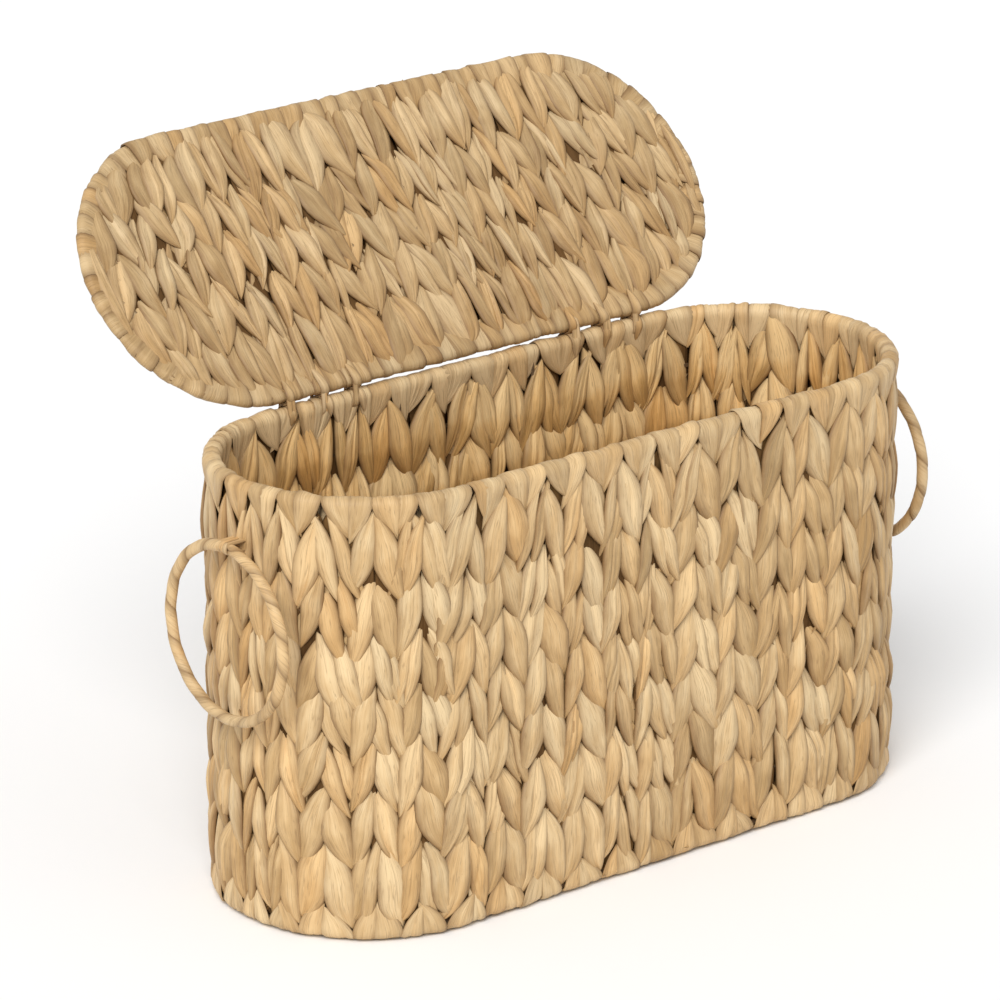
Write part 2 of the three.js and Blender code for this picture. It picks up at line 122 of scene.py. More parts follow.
@dataclass(frozen=True)
class OvalPlan:
    """The oval that a hoop follows, seen from above and centred on x.

    Attributes:
        half_straight: Half the length of its straight sides.
        radius: Radius of its round ends.
        middle_y: Place of its long axis.
    """

    half_straight: float
    radius: float
    middle_y: float = 0.0

    # Angle of the highest corner of a wire's section, and how nearly its corners lie in line.
    TOP_CORNER = math.radians(72)
    IN_LINE = 0.01

    @classmethod
    def through(cls, points: Array) -> "OvalPlan":
        """Reads the plan of a hoop from the corners of its wire.

        Args:
            points: The corners of a hoop that lies flat.

        Returns:
            The oval along the middle of the wire.
        """
        low, high = points.min(0), points.max(0)
        wire_radius = (high[2] - low[2]) / (2 * math.sin(cls.TOP_CORNER))
        straight = points[points[:, 1] > high[1] - cls.IN_LINE]
        radius = (high[1] - low[1]) / 2 - wire_radius
        return cls(float(straight[:, 0].max()), radius, (high[1] + low[1]) / 2)

    @property
    def girth(self) -> float:
        """Length once round the oval."""
        return 4 * self.half_straight + 2 * math.pi * self.radius

    def at(self, along: Array, out: Array) -> tuple[Array, Array]:
        """Finds points beside the oval.

        Args:
            along: Lengths along it, counter-clockwise from the front left.
            out: Distances out from it.

        Returns:
            The points' x and their y.
        """
        straight, arc = 2 * self.half_straight, math.pi * self.radius
        place = np.mod(along, self.girth)
        parts = [place < straight, place < straight + arc, place < 2 * straight + arc]
        middle = np.select(
            parts,
            [place - self.half_straight, self.half_straight, self.half_straight - (place - straight - arc)],
            -self.half_straight,
        )
        turn, reach = self.facing(along), self.radius + out
        return middle + reach * np.cos(turn), self.middle_y + reach * np.sin(turn)

    def facing(self, along: Array) -> Array:
        """Finds the ways that the oval looks outward.

        Args:
            along: Lengths along it.

        Returns:
            The angles of these ways, in radians.
        """
        straight, arc = 2 * self.half_straight, math.pi * self.radius
        place = np.mod(along, self.girth)
        parts = [place < straight, place < straight + arc, place < 2 * straight + arc]
        turns = [-math.pi / 2, (place - straight) / self.radius - math.pi / 2, math.pi / 2]
        return np.select(parts, turns, (place - 2 * straight - arc) / self.radius + math.pi / 2)

    def along(self, x: float, y: float) -> float:
        """Finds the place on the oval that is nearest to a point.

        Args:
            x: The point's x.
            y: The point's y.

        Returns:
            The length along the oval.
        """
        beyond = max(-self.half_straight, min(self.half_straight, x))
        turn = math.atan2(y - self.middle_y, x - beyond)
        if abs(x) < self.half_straight:
            return self.crossings(x)[0 if turn < 0 else 1]
        if x > 0:
            return 2 * self.half_straight + (turn + math.pi / 2) * self.radius
        return 4 * self.half_straight + (turn % (2 * math.pi) + math.pi / 2) * self.radius

    def crossings(self, x: float) -> Pair:
        """Finds where the oval's front and its rear pass a place inside it.

        Args:
            x: The place.

        Returns:
            The two lengths along the oval.
        """
        beyond = math.copysign(max(0.0, abs(x) - self.half_straight), x)
        bend = self.radius * math.asin(beyond / self.radius)
        front = self.half_straight + x - beyond + bend
        rear = 2 * self.half_straight + math.pi * self.radius + 2 * self.half_straight - front
        return front % self.girth, rear % self.girth

    def reach_at(self, x: float, inset: float) -> float:
        """Gives half the oval's depth at x, for the oval drawn in by an inset, or 0 outside it."""
        beyond = max(0.0, abs(x) - self.half_straight)
        return math.sqrt(max(0.0, (self.radius - inset) ** 2 - beyond**2))

    def spread_at(self, y: float, inset: float) -> float:
        """Gives half the oval's length at y, for the oval drawn in by an inset."""
        depth = y - self.middle_y
        return self.half_straight + math.sqrt(max(0.0, (self.radius - inset) ** 2 - depth**2))


@dataclass(frozen=True)
class LidPose:
    """The place of the lid's own axes in the frame, with the hinge as their origin.

    Attributes:
        hinge_y: Place of the hinge.
        hinge_z: Level of the hinge.
        turn: Angle of the lid about x from flat, in radians.
    """

    hinge_y: float
    hinge_z: float
    turn: float

    @classmethod
    def at_rest(cls) -> "LidPose":
        """Reads the open lid's pose from the hinge joint, whose range ends with the lid flat."""
        _, y, z = joint_place("lid_hinge")
        return cls(y, z, -math.radians(joint_named("lid_hinge")["range_deg"][1]))

    def placed(self, points: Array) -> Array:
        """Moves points from the flat lid to the lid at rest.

        Args:
            points: Rows of x, y and z.

        Returns:
            The moved points.
        """
        x, y, z = points[..., 0], points[..., 1], points[..., 2]
        cos, sin = math.cos(self.turn), math.sin(self.turn)
        return np.stack([x, self.hinge_y + y * cos - z * sin, self.hinge_z + y * sin + z * cos], -1)

    def flattened(self, points: Array) -> Array:
        """Moves points from the lid at rest to the flat lid.

        Args:
            points: Rows of x, y and z.

        Returns:
            The moved points.
        """
        x, y, z = points[..., 0], points[..., 1] - self.hinge_y, points[..., 2] - self.hinge_z
        cos, sin = math.cos(self.turn), math.sin(self.turn)
        return np.stack([x, y * cos + z * sin, z * cos - y * sin], -1)


class Surface(Protocol):
    """A sheet that strips are laid on."""

    def place(self, along: Array, up: Array, out: Array) -> Array:
        """Finds the points at lengths along and up the sheet and at heights out from it."""


@dataclass(frozen=True)
class WallSurface:
    """The upright wall, outside for the front side and inside for the back.

    Attributes:
        plan: The wall's middle line.
        side: The face that strips lie on.
    """

    plan: OvalPlan
    side: Side

    def place(self, along: Array, up: Array, out: Array) -> Array:
        """Finds points on the wall."""
        x, y = self.plan.at(along, self.side.value * out)
        return np.stack([x, y, up], -1)


@dataclass(frozen=True)
class FlatSurface:
    """A flat sheet across the oval: the base, or the lid before it is opened.

    Attributes:
        level: Height of the sheet's middle.
        side: The face that strips lie on: the front looks up.
        up_sign: Whether a strip's upper end lies towards the rear, 1, or the front, -1.
        pose: The lid's pose, or None for the base.
    """

    level: float
    side: Side
    up_sign: int
    pose: LidPose | None = None

    def place(self, along: Array, up: Array, out: Array) -> Array:
        """Finds points on the sheet."""
        points = np.stack([along, self.up_sign * up, self.level + self.side.value * out], -1)
        return self.pose.placed(points) if self.pose else points


class FoldLine:
    """The line that strips follow over an edge, in section: distances out from the plan, and levels."""

    def __init__(self, points: Array, start: float) -> None:
        """Measures the line.

        Args:
            points: Close points along it, as rows of out and level.
            start: The share of its length that counts as its middle.
        """
        steps = np.diff(points, axis=0)
        lengths = np.concatenate([[0], np.cumsum(np.hypot(*steps.T))])
        self.points = points
        self.turns = np.unwrap(np.arctan2(*np.gradient(points, axis=0).T[::-1]))
        self.lengths = lengths - start * lengths[-1]

    @property
    def reach(self) -> Pair:
        """Lengths from its middle to its two ends."""
        return -float(self.lengths[0]), float(self.lengths[-1])

    def at(self, up: Array, out: Array) -> tuple[Array, Array]:
        """Finds points beside the line.

        Args:
            up: Lengths along it from its middle.
            out: Distances to its outer side.

        Returns:
            The points' distances out from the plan, and their levels.
        """
        across, level = (np.interp(up, self.lengths, self.points[:, axis]) for axis in (0, 1))
        turn = np.interp(up, self.lengths, self.turns)
        return across + out * np.sin(turn), level - out * np.cos(turn)


@dataclass(frozen=True)
class FoldSurface:
    """A sheet folded over an edge that follows an oval.

    Attributes:
        plan: The edge's middle line.
        line: The fold in section.
        pose: The lid's pose, or None on the basket.
    """

    plan: OvalPlan
    line: FoldLine
    pose: LidPose | None = None

    def place(self, along: Array, up: Array, out: Array) -> Array:
        """Finds points on the fold.

        Args:
            along: Lengths along the edge.
            up: Lengths along the fold from its middle.
            out: Heights out from it.

        Returns:
            Rows of x, y and z.
        """
        across, level = self.line.at(up, out)
        x, y = self.plan.at(along, across)
        points = np.stack([x, y, level], -1)
        return self.pose.placed(points) if self.pose else points


class BeltSurface:
    """A belt drawn tight round two parallel bars, for a strip that is wound round both."""

    STEPS = 24

    def __init__(self, bars: tuple[Array, Array], radii: Pair, axis: Array) -> None:
        """Lays the belt's line.

        Args:
            bars: A point on each bar.
            radii: The belt's radius round each bar.
            axis: The way that the bars run.
        """
        self.axis = axis
        span = bars[1] - bars[0]
        reach = float(np.linalg.norm(span))
        self.across = span / reach
        self.over = np.cross(axis, self.across)
        tilt = math.acos((radii[0] - radii[1]) / reach)
        far = np.linspace(-tilt, tilt, self.STEPS)
        near = np.linspace(tilt, 2 * math.pi - tilt, self.STEPS)
        self.turns = np.concatenate([far, near, [2 * math.pi - tilt]])
        middles = np.concatenate([np.full(self.STEPS, reach), np.zeros(self.STEPS), [reach]])
        rounds = np.concatenate([np.full(self.STEPS, radii[1]), np.full(self.STEPS, radii[0]), [radii[1]]])
        self.start = bars[0]
        self.line = np.stack([middles + rounds * np.cos(self.turns), rounds * np.sin(self.turns)], -1)
        self.lengths = np.concatenate([[0], np.cumsum(np.hypot(*np.diff(self.line, axis=0).T))])

    @property
    def girth(self) -> float:
        """Length once round the belt."""
        return float(self.lengths[-1])

    def place(self, along: Array, up: Array, out: Array) -> Array:
        """Finds points on the belt.

        Args:
            along: Lengths along the bars.
            up: Lengths round the belt.
            out: Heights out from it.

        Returns:
            Rows of x, y and z.
        """
        place = np.mod(up, self.girth)
        turn = np.interp(place, self.lengths, self.turns)
        across = np.interp(place, self.lengths, self.line[:, 0]) + out * np.cos(turn)
        over = np.interp(place, self.lengths, self.line[:, 1]) + out * np.sin(turn)
        ways = (self.axis, self.across, self.over)
        return self.start + sum(part[..., None] * way for part, way in zip((along, across, over), ways))


@dataclass(frozen=True)
class TubeSurface:
    """The round of a ring in a plane across x, for a strip that is wound along it.

    Attributes:
        middle: The ring's middle.
        ring: Radius of the ring.
        tube: Radius of the surface round the ring's wire.
        pitch: Length along the ring from one turn to the next.
    """

    middle: Array
    ring: float
    tube: float
    pitch: float

    @property
    def turn_length(self) -> float:
        """Length of the strip in one turn."""
        return math.hypot(self.pitch, 2 * math.pi * self.tube)

    @property
    def spacing(self) -> float:
        """Distance across the strip from one turn to the next."""
        return self.pitch * 2 * math.pi * self.tube / self.turn_length

    def place(self, along: Array, up: Array, out: Array) -> Array:
        """Finds points on the ring's round, with the middle of the strip at the ring's foot.

        Args:
            along: Lengths across the strip.
            up: Lengths along the strip from its middle.
            out: Heights out from the round.

        Returns:
            Rows of x, y and z.
        """
        cos, sin = 2 * math.pi * self.tube / self.turn_length, self.pitch / self.turn_length
        onward = (up * sin + along * cos) / self.ring - math.pi / 2
        turn = (up * cos - along * sin) / self.tube
        reach = self.ring + (self.tube + out) * np.cos(turn)
        points = [(self.tube + out) * np.sin(turn), reach * np.cos(onward), reach * np.sin(onward)]
        return self.middle + np.stack(points, -1)


@dataclass
class Strip:
    """One dry leaf strip, flattened, crowned and creased along its length.

    In each pair the lower end comes first.

    Attributes:
        along: Place of its middle along the surface.
        reach: Lengths from its middle to its ends.
        lift: Heights of its underside at the lower end, the middle and the upper end.
        width: Greatest width.
        crown: Height of its back over its edges.
        up: Place of its middle up the surface.
        lean: Sideways shifts of its tips as it narrows, which keep one of its edges straight.
        bluntness: Powers of its outline at the two ends, high where it stays wide, and how soon it narrows.
        drift: Sideways shifts of its two halves that grow from the middle.
        wave: Height at its middle and length of the waves that it lies in.
        roll: Slope across it.
        tone: Lightness, from 0 to 1.
        shade: Painted light and shade towards its two ends, as changes of lightness.
        hue: Warmth, from 0, red brown, to 1, grey.
        creases: Number of folds along it.
        split: Whether it is two leaves that lie side by side.
        rings: Number of sections along it.
        back_points: Number of points across its back.
        under_points: Number of points across its underside.
    """

    along: float
    reach: Pair
    lift: Triple
    width: float
    crown: float
    up: float = 0.0
    lean: Pair = (0.0, 0.0)
    bluntness: Triple = (1.66, 1.66, 0.9)
    drift: Pair = (0.0, 0.0)
    wave: Pair = (0.0, 1.0)
    roll: float = 0.0
    tone: float = 0.5
    shade: Pair = (0.0, 0.0)
    hue: float = 0.5
    creases: int = 3
    split: bool = False
    rings: int = 17
    back_points: int = 23
    under_points: int = 4

    # An outline that stays wide up to square ends.
    SQUARE_ENDS = (12.0, 12.0, 0.7)
    # Sag of its underside, two powers that round its edges, and how its back falls as it narrows.
    UNDER_DROP = 0.4
    EDGE_ROUND = (3.6, 0.6)
    CROWN_POWER = 0.55
    # Powers of the change of height from its middle to its two ends.
    LIFT_POWERS = (2.0, 1.4)
    # Share of a half turn that its sections are spread over.
    RING_SPAN = 0.47
    # Chance bends: the sideways bow, waves of its two edges and waves of its back.
    BOW = 0.35
    WOBBLE = 0.07
    WOBBLE_WAVES = (1.5, 4)
    SWELL = 0.09
    SWELL_WAVES = (2, 4)
    PHASE = 6.3
    # Creases: place across it, slant, depth as a share of the crown, and width.
    CREASE_PLACE = 0.75
    CREASE_SLANT = 0.18
    CREASE_DEPTH = (0.05, 0.22)
    CREASE_WIDTH = (0.13, 0.3)
    # The same for a split, and the change of tone beyond it.
    SPLIT_PLACE = 0.3
    SPLIT_SLANT = 0.3
    SPLIT_DEPTH = 0.45
    SPLIT_WIDTH = 0.15
    SPLIT_TONE = 0.25
    # Units of its own map to a millimetre, and the span that the maps of all strips are spread over.
    MAP_SCALE = 0.1
    MAP_SPAN = 40
    # Painted shade in brown: level under it, powers towards its edges and its tips, and level at the upper
    # tip.
    UNDER_EDGE = 0.4
    EDGE_POWER = 2.4
    TIP_POWERS = (2.5, 5)
    UPPER_TIP = 0.7

    @property
    def section_size(self) -> int:
        """Number of points in a section."""
        return self.back_points + self.under_points

    def across(self) -> Array:
        """Shares out the points of a section.

        Returns:
            Places across the strip, from edge to edge over its back and home again under it.
        """
        even = np.linspace(-1, 1, self.back_points)
        back = 0.5 * even + 0.5 * np.sin(even * math.pi / 2)
        under = np.linspace(1, -1, self.under_points + 2)[1:-1]
        return np.concatenate([back, under])

    def end_at(self, tip: Tip, reach: float, lift: float, power: float) -> None:
        """Changes one end of the strip.

        Args:
            tip: The end.
            reach: Length from the strip's middle to that end.
            lift: Height of its underside there.
            power: Power of its outline there.
        """
        self.reach = changed(self.reach, tip.value, reach)
        self.lift = changed(self.lift, 2 * tip.value, lift)
        self.bluntness = changed(self.bluntness, tip.value, power)

    def lean_at(self, tip: Tip, lean: float) -> None:
        """Changes the lean of one end, without a slant."""
        self.lean = changed(self.lean, tip.value, lean)
        self.drift = changed(self.drift, tip.value, 0.0)

    def back_height(self, onward: Array, across: Array, fullness: Array, rng: Rng) -> tuple[Array, Array]:
        """Works out the creased back of the strip.

        Args:
            onward: Places along it, from -1 to 1.
            across: Places across it, from -1 to 1.
            fullness: Its width at each place along it, as a share of the greatest.
            rng: The source of its chance folds.

        Returns:
            The back's heights over the edges, and how far each point is on the far side of a split.
        """
        power, ease = self.EDGE_ROUND
        dome = (1 - np.abs(across) ** power) ** ease
        height = self.crown * fullness[:, None] ** self.CROWN_POWER * dome
        swell = self.SWELL * np.sin(rng.uniform(*self.SWELL_WAVES) * onward + rng.uniform(0, self.PHASE))
        height = height * (1 + swell[:, None])
        for _ in range(self.creases):
            line = rng.uniform(-self.CREASE_PLACE, self.CREASE_PLACE)
            line = line + rng.normal(0, self.CREASE_SLANT) * onward
            depth = rng.uniform(*self.CREASE_DEPTH) * self.crown
            gap = (across[None, :] - line[:, None]) / rng.uniform(*self.CREASE_WIDTH)
            height = height - depth * np.exp(-gap**2) * dome * fullness[:, None]
        beyond = np.zeros_like(height)
        line = rng.uniform(-self.SPLIT_PLACE, self.SPLIT_PLACE)
        line = line + rng.normal(0, self.SPLIT_SLANT) * onward
        if self.split:
            gap = (across[None, :] - line[:, None]) / self.SPLIT_WIDTH
            depth = self.SPLIT_DEPTH * self.crown
            height = height - depth * np.exp(-gap**2) * dome * fullness[:, None]
            beyond = (gap > 0).astype(float)
        return height, beyond

    def looks(self, onward: Array, across: Array, beyond: Array, rng: Rng) -> Array:
        """Works out the looks of the strip's corners.

        Args:
            onward: Places along it, from -1 to 1.
            across: Places across it, from -1 to 1.
            beyond: How far each point is on the far side of a split.
            rng: The source of its chance tones.

        Returns:
            Rows of tone, hue, nearness to an edge and nearness to a tip, with the two tips last.
        """
        lower, under = onward < 0, np.arange(len(across)) >= self.back_points
        far = np.abs(onward)
        # Painted light and shade: lighter or darker towards the two ends.
        painted_end_shade = np.where(lower, *self.shade) * np.sqrt(far)
        tone = self.tone + painted_end_shade[:, None] + beyond * rng.uniform(-self.SPLIT_TONE, self.SPLIT_TONE)
        # Masks of painted shade: towards the edges, under the strip and towards the tips.
        edge = np.where(under, self.UNDER_EDGE, np.abs(across) ** self.EDGE_POWER)[None, :]
        low_power, high_power = self.TIP_POWERS
        tip = np.where(lower, far**low_power, self.UPPER_TIP * far**high_power)[:, None]
        looks = np.stack(np.broadcast_arrays(tone, self.hue, edge, tip), -1).reshape(-1, 4)
        return np.concatenate([looks, [[self.tone, self.hue, 1, 1]] * 2])

    def laid(self, rng: Rng) -> tuple[Array, Array, Array]:
        """Works out the strip's corners on its surface.

        Args:
            rng: The source of its chance bends, folds and tones.

        Returns:
            The corners as along, up and out, ring by ring with the two tips last, their places on the leaf's
            own map, and their looks.
        """
        onward = np.sin(np.linspace(-self.RING_SPAN, self.RING_SPAN, self.rings) * math.pi)
        across = self.across()
        lower, under = onward < 0, np.arange(len(across)) >= self.back_points
        up = np.where(lower, onward * self.reach[0], onward * self.reach[1])
        low_power, high_power, ease = self.bluntness
        fullness = (1 - np.abs(onward) ** np.where(lower, low_power, high_power)) ** ease
        along = np.where(lower, *self.lean) * (1 - fullness) + rng.normal(0, self.BOW) * (1 - onward**2)
        drift = np.where(lower, *self.drift) * np.abs(onward)
        along = along + drift
        steps = np.stack([np.gradient(drift), np.gradient(up)])
        steps = steps / np.hypot(*steps)
        wobble = [
            1 + self.WOBBLE * np.sin(rng.uniform(*self.WOBBLE_WAVES) * onward + rng.uniform(0, self.PHASE))
            for _ in range(2)
        ]
        half = np.where(across[None, :] < 0, wobble[0][:, None], wobble[1][:, None])
        offset = across[None, :] * half * (fullness * self.width / 2)[:, None]
        height, beyond = self.back_height(onward, across, fullness, rng)
        height[:, under] = -self.UNDER_DROP * fullness[:, None] * (1 - across[under] ** 2)
        ends = np.where(lower, self.lift[0], self.lift[2])
        base = self.lift[1] + (ends - self.lift[1]) * np.abs(onward) ** np.where(lower, *self.LIFT_POWERS)
        base = base + self.wave[0] * np.cos(2 * math.pi * up / self.wave[1])
        corners = np.stack([
            self.along + along[:, None] + steps[1][:, None] * offset,
            self.up + up[:, None] - steps[0][:, None] * offset,
            base[:, None] + height + self.roll * offset,
        ], -1).reshape(-1, 3)
        tips = np.stack([
            self.along + np.array(self.lean) + self.drift,
            self.up + np.array((-1, 1)) * self.reach,
            self.lift[::2],
        ], -1)
        leaf_map = np.stack(np.broadcast_arrays(up[:, None], across[None, :] * self.width / 2), -1)
        tip_map = np.array([[-self.reach[0], 0], [self.reach[1], 0]])
        leaf_map = np.concatenate([leaf_map.reshape(-1, 2), tip_map]) * self.MAP_SCALE
        leaf_map = leaf_map + rng.uniform(0, self.MAP_SPAN, 2)
        return np.concatenate([corners, tips]), leaf_map, self.looks(onward, across, beyond, rng)

    def faces(self) -> tuple[Array, Array]:
        """Joins the corners into a closed skin.

        Returns:
            The four-sided faces, and the three-sided ones at the tips.
        """
        size = self.section_size
        ring, place = np.meshgrid(np.arange(self.rings - 1), np.arange(size), indexing="ij")
        after = (place + 1) % size
        first, second = ring * size, (ring + 1) * size
        quads = np.stack([first + place, first + after, second + after, second + place], -1).reshape(-1, 4)
        place, after = np.arange(size), (np.arange(size) + 1) % size
        last = (self.rings - 1) * size
        low_tip, high_tip = np.full(size, self.rings * size), np.full(size, self.rings * size + 1)
        caps = [np.stack([after, place, low_tip], -1), np.stack([last + place, last + after, high_tip], -1)]
        return quads, np.concatenate(caps)


class Sheaf:
    """Strips on one surface, gathered into one mesh."""

    LEAF_MAP = "leaf_map"
    LOOKS = "leaf_looks"

    def __init__(self, name: str, surface: Surface, rng: Rng) -> None:
        """Starts an empty sheaf.

        Args:
            name: Name of the piece.
            surface: The surface that its strips lie on.
            rng: The source of its strips' chance bends.
        """
        self.name, self.surface, self.rng = name, surface, rng
        self.count = 0
        self.corners: list[Array] = []
        self.maps: list[Array] = []
        self.looks: list[Array] = []
        self.quads: list[Array] = []
        self.caps: list[Array] = []

    def add(self, strip: Strip) -> None:
        """Lays one more strip on the surface.

        Args:
            strip: The strip.
        """
        flat, leaf_map, looks = strip.laid(self.rng)
        corners = self.surface.place(*flat.T)
        quads, caps = strip.faces()
        size, ring = strip.section_size, strip.rings // 2
        middle = ring * size + strip.back_points // 2
        across = corners[middle + 1] - corners[middle - 1]
        onward = corners[middle + size] - corners[middle - size]
        outward = corners[middle] - corners[ring * size + size - strip.under_points // 2]
        if np.dot(np.cross(across, onward), outward) < 0:
            quads, caps = quads[:, ::-1], caps[:, ::-1]
        self.corners.append(corners)
        self.maps.append(leaf_map)
        self.looks.append(looks)
        self.quads.append(quads + self.count)
        self.caps.append(caps + self.count)
        self.count += len(corners)

    def build(self) -> bpy.types.Object:
        """Writes the strips to a mesh.

        Returns:
            The new object, linked to the scene.
        """
        parts = (np.concatenate(rows) for rows in (self.corners, self.quads, self.caps))
        piece = solid_piece(self.name, *parts)
        mesh = piece.data
        order = np.empty(len(mesh.loops), np.int32)
        mesh.loops.foreach_get("vertex_index", order)
        layer = mesh.uv_layers.new(name=self.LEAF_MAP)
        layer.uv.foreach_set("vector", np.concatenate(self.maps)[order].astype(np.float32).ravel())
        looks = mesh.attributes.new(self.LOOKS, "FLOAT_COLOR", "POINT")
        looks.data.foreach_set("color", np.concatenate(self.looks).astype(np.float32).ravel())
        return piece


def solid_piece(name: str, corners: Array, quads: Array, triangles: Array) -> bpy.types.Object:
    """Makes a smooth-shaded object from corners and faces.

    Args:
        name: Name of the piece.
        corners: Rows of x, y and z, in millimetres.
        quads: Rows of four corner numbers.
        triangles: Rows of three corner numbers.

    Returns:
        The new object, linked to the scene.
    """
    mesh = bpy.data.meshes.new(name)
    mesh.vertices.add(len(corners))
    mesh.vertices.foreach_set("co", (corners * MM).astype(np.float32).ravel())
    order = np.concatenate([quads.ravel(), triangles.ravel()]).astype(np.int32)
    mesh.loops.add(len(order))
    mesh.loops.foreach_set("vertex_index", order)
    four, three = 4 * np.arange(len(quads)), 4 * len(quads) + 3 * np.arange(len(triangles))
    mesh.polygons.add(len(quads) + len(triangles))
    mesh.polygons.foreach_set("loop_start", np.concatenate([four, three]).astype(np.int32))
    mesh.polygons.foreach_set("use_smooth", np.ones(len(mesh.polygons), bool))
    mesh.update(calc_edges=True)
    mesh.validate()
    piece = bpy.data.objects.new(name, mesh)
    bpy.context.scene.collection.objects.link(piece)
    return piece


@dataclass(frozen=True)
class Grain:
    """The build of a noise.

    Attributes:
        stretch: Bumps to a unit, along each axis.
        detail: Number of finer noises over it.
        roughness: Strength of each of these as a share of the one before.
    """

    stretch: Triple
    detail: float = 2.0
    roughness: float = 0.5


class NodeSheet:
    """A material's node tree, with short ways to add nodes to it."""

    # Places of the factor and the two colours on a mix node, and of its mixed colour.
    MIX_INPUTS = (0, 6, 7)
    MIX_OUTPUT = 2

    def __init__(self, name: str) -> None:
        """Starts a material with only its output.

        Args:
            name: The material's name.
        """
        self.material = bpy.data.materials.new(name)
        self.material.use_nodes = True
        self.tree = self.material.node_tree
        self.tree.nodes.clear()
        self.output = self.tree.nodes.new("ShaderNodeOutputMaterial")

    def add(self, kind: str, **settings: object) -> bpy.types.Node:
        """Adds a node.

        Args:
            kind: Its type.
            settings: Values of its properties.

        Returns:
            The node.
        """
        node = self.tree.nodes.new(kind)
        for key, value in settings.items():
            setattr(node, key, value)
        return node

    def join(self, value: object, socket: Socket) -> None:
        """Feeds a socket.

        Args:
            value: Another socket, or a constant.
            socket: The socket.
        """
        if isinstance(value, Socket):
            self.tree.links.new(value, socket)
        else:
            socket.default_value = value

    def fed(self, node: bpy.types.Node, inputs: dict[int | str, object], output: int | str = 0) -> Socket:
        """Feeds a node.

        Args:
            node: The node.
            inputs: The places or names of its sockets, with what each one is given.
            output: Place or name of the socket to go on from.

        Returns:
            That socket.
        """
        for key, value in inputs.items():
            self.join(value, node.inputs[key])
        return node.outputs[output]

    def math(self, operation: str, first: object, second: object) -> Socket:
        """Adds a sum, product or other step of arithmetic."""
        return self.fed(self.add("ShaderNodeMath", operation=operation), {0: first, 1: second})

    def spread(self, value: object, source: Pair, target: Pair) -> Socket:
        """Maps a range of values to another range, and clamps it there."""
        node = self.add("ShaderNodeMapRange", clamp=True)
        return self.fed(node, dict(enumerate((value, *source, *target))))

    def blend(self, kind: str, share: object, first: object, second: object) -> Socket:
        """Mixes two colours."""
        node = self.add("ShaderNodeMix", data_type="RGBA", blend_type=kind)
        return self.fed(node, dict(zip(self.MIX_INPUTS, (share, first, second))), self.MIX_OUTPUT)

    def noise(self, place: object, grain: Grain) -> Socket:
        """Adds a noise.

        Args:
            place: The places that it is read at.
            grain: Its build.

        Returns:
            The noise, mostly near a half.
        """
        scale = self.add("ShaderNodeVectorMath", operation="MULTIPLY")
        scaled = self.fed(scale, {0: place, 1: grain.stretch})
        inputs = {"Vector": scaled, "Scale": 1.0, "Detail": grain.detail, "Roughness": grain.roughness}
        return self.fed(self.add("ShaderNodeTexNoise", noise_dimensions="3D"), inputs, "Fac")

    def ramp(self, value: object, stops: list[tuple[float, Colour]]) -> Socket:
        """Adds a ramp of colours.

        Args:
            value: The place on the ramp.
            stops: Places and colours of its stops.

        Returns:
            The colour there.
        """
        node = self.add("ShaderNodeValToRGB")
        elements = node.color_ramp.elements
        while len(elements) < len(stops):
            elements.new(1.0)
        for element, (place, colour) in zip(elements, stops):
            element.position = place
            element.color = (*colour, 1.0)
        self.join(value, node.inputs[0])
        return node.outputs[0]

    def bump(self, height: object, distance: float, strength: float, normal: object = None) -> Socket:
        """Adds a bump of that many metres, over an earlier one if there is one."""
        inputs = {"Height": height, "Distance": distance, "Strength": strength}
        return self.fed(self.add("ShaderNodeBump"), inputs | ({} if normal is None else {"Normal": normal}))


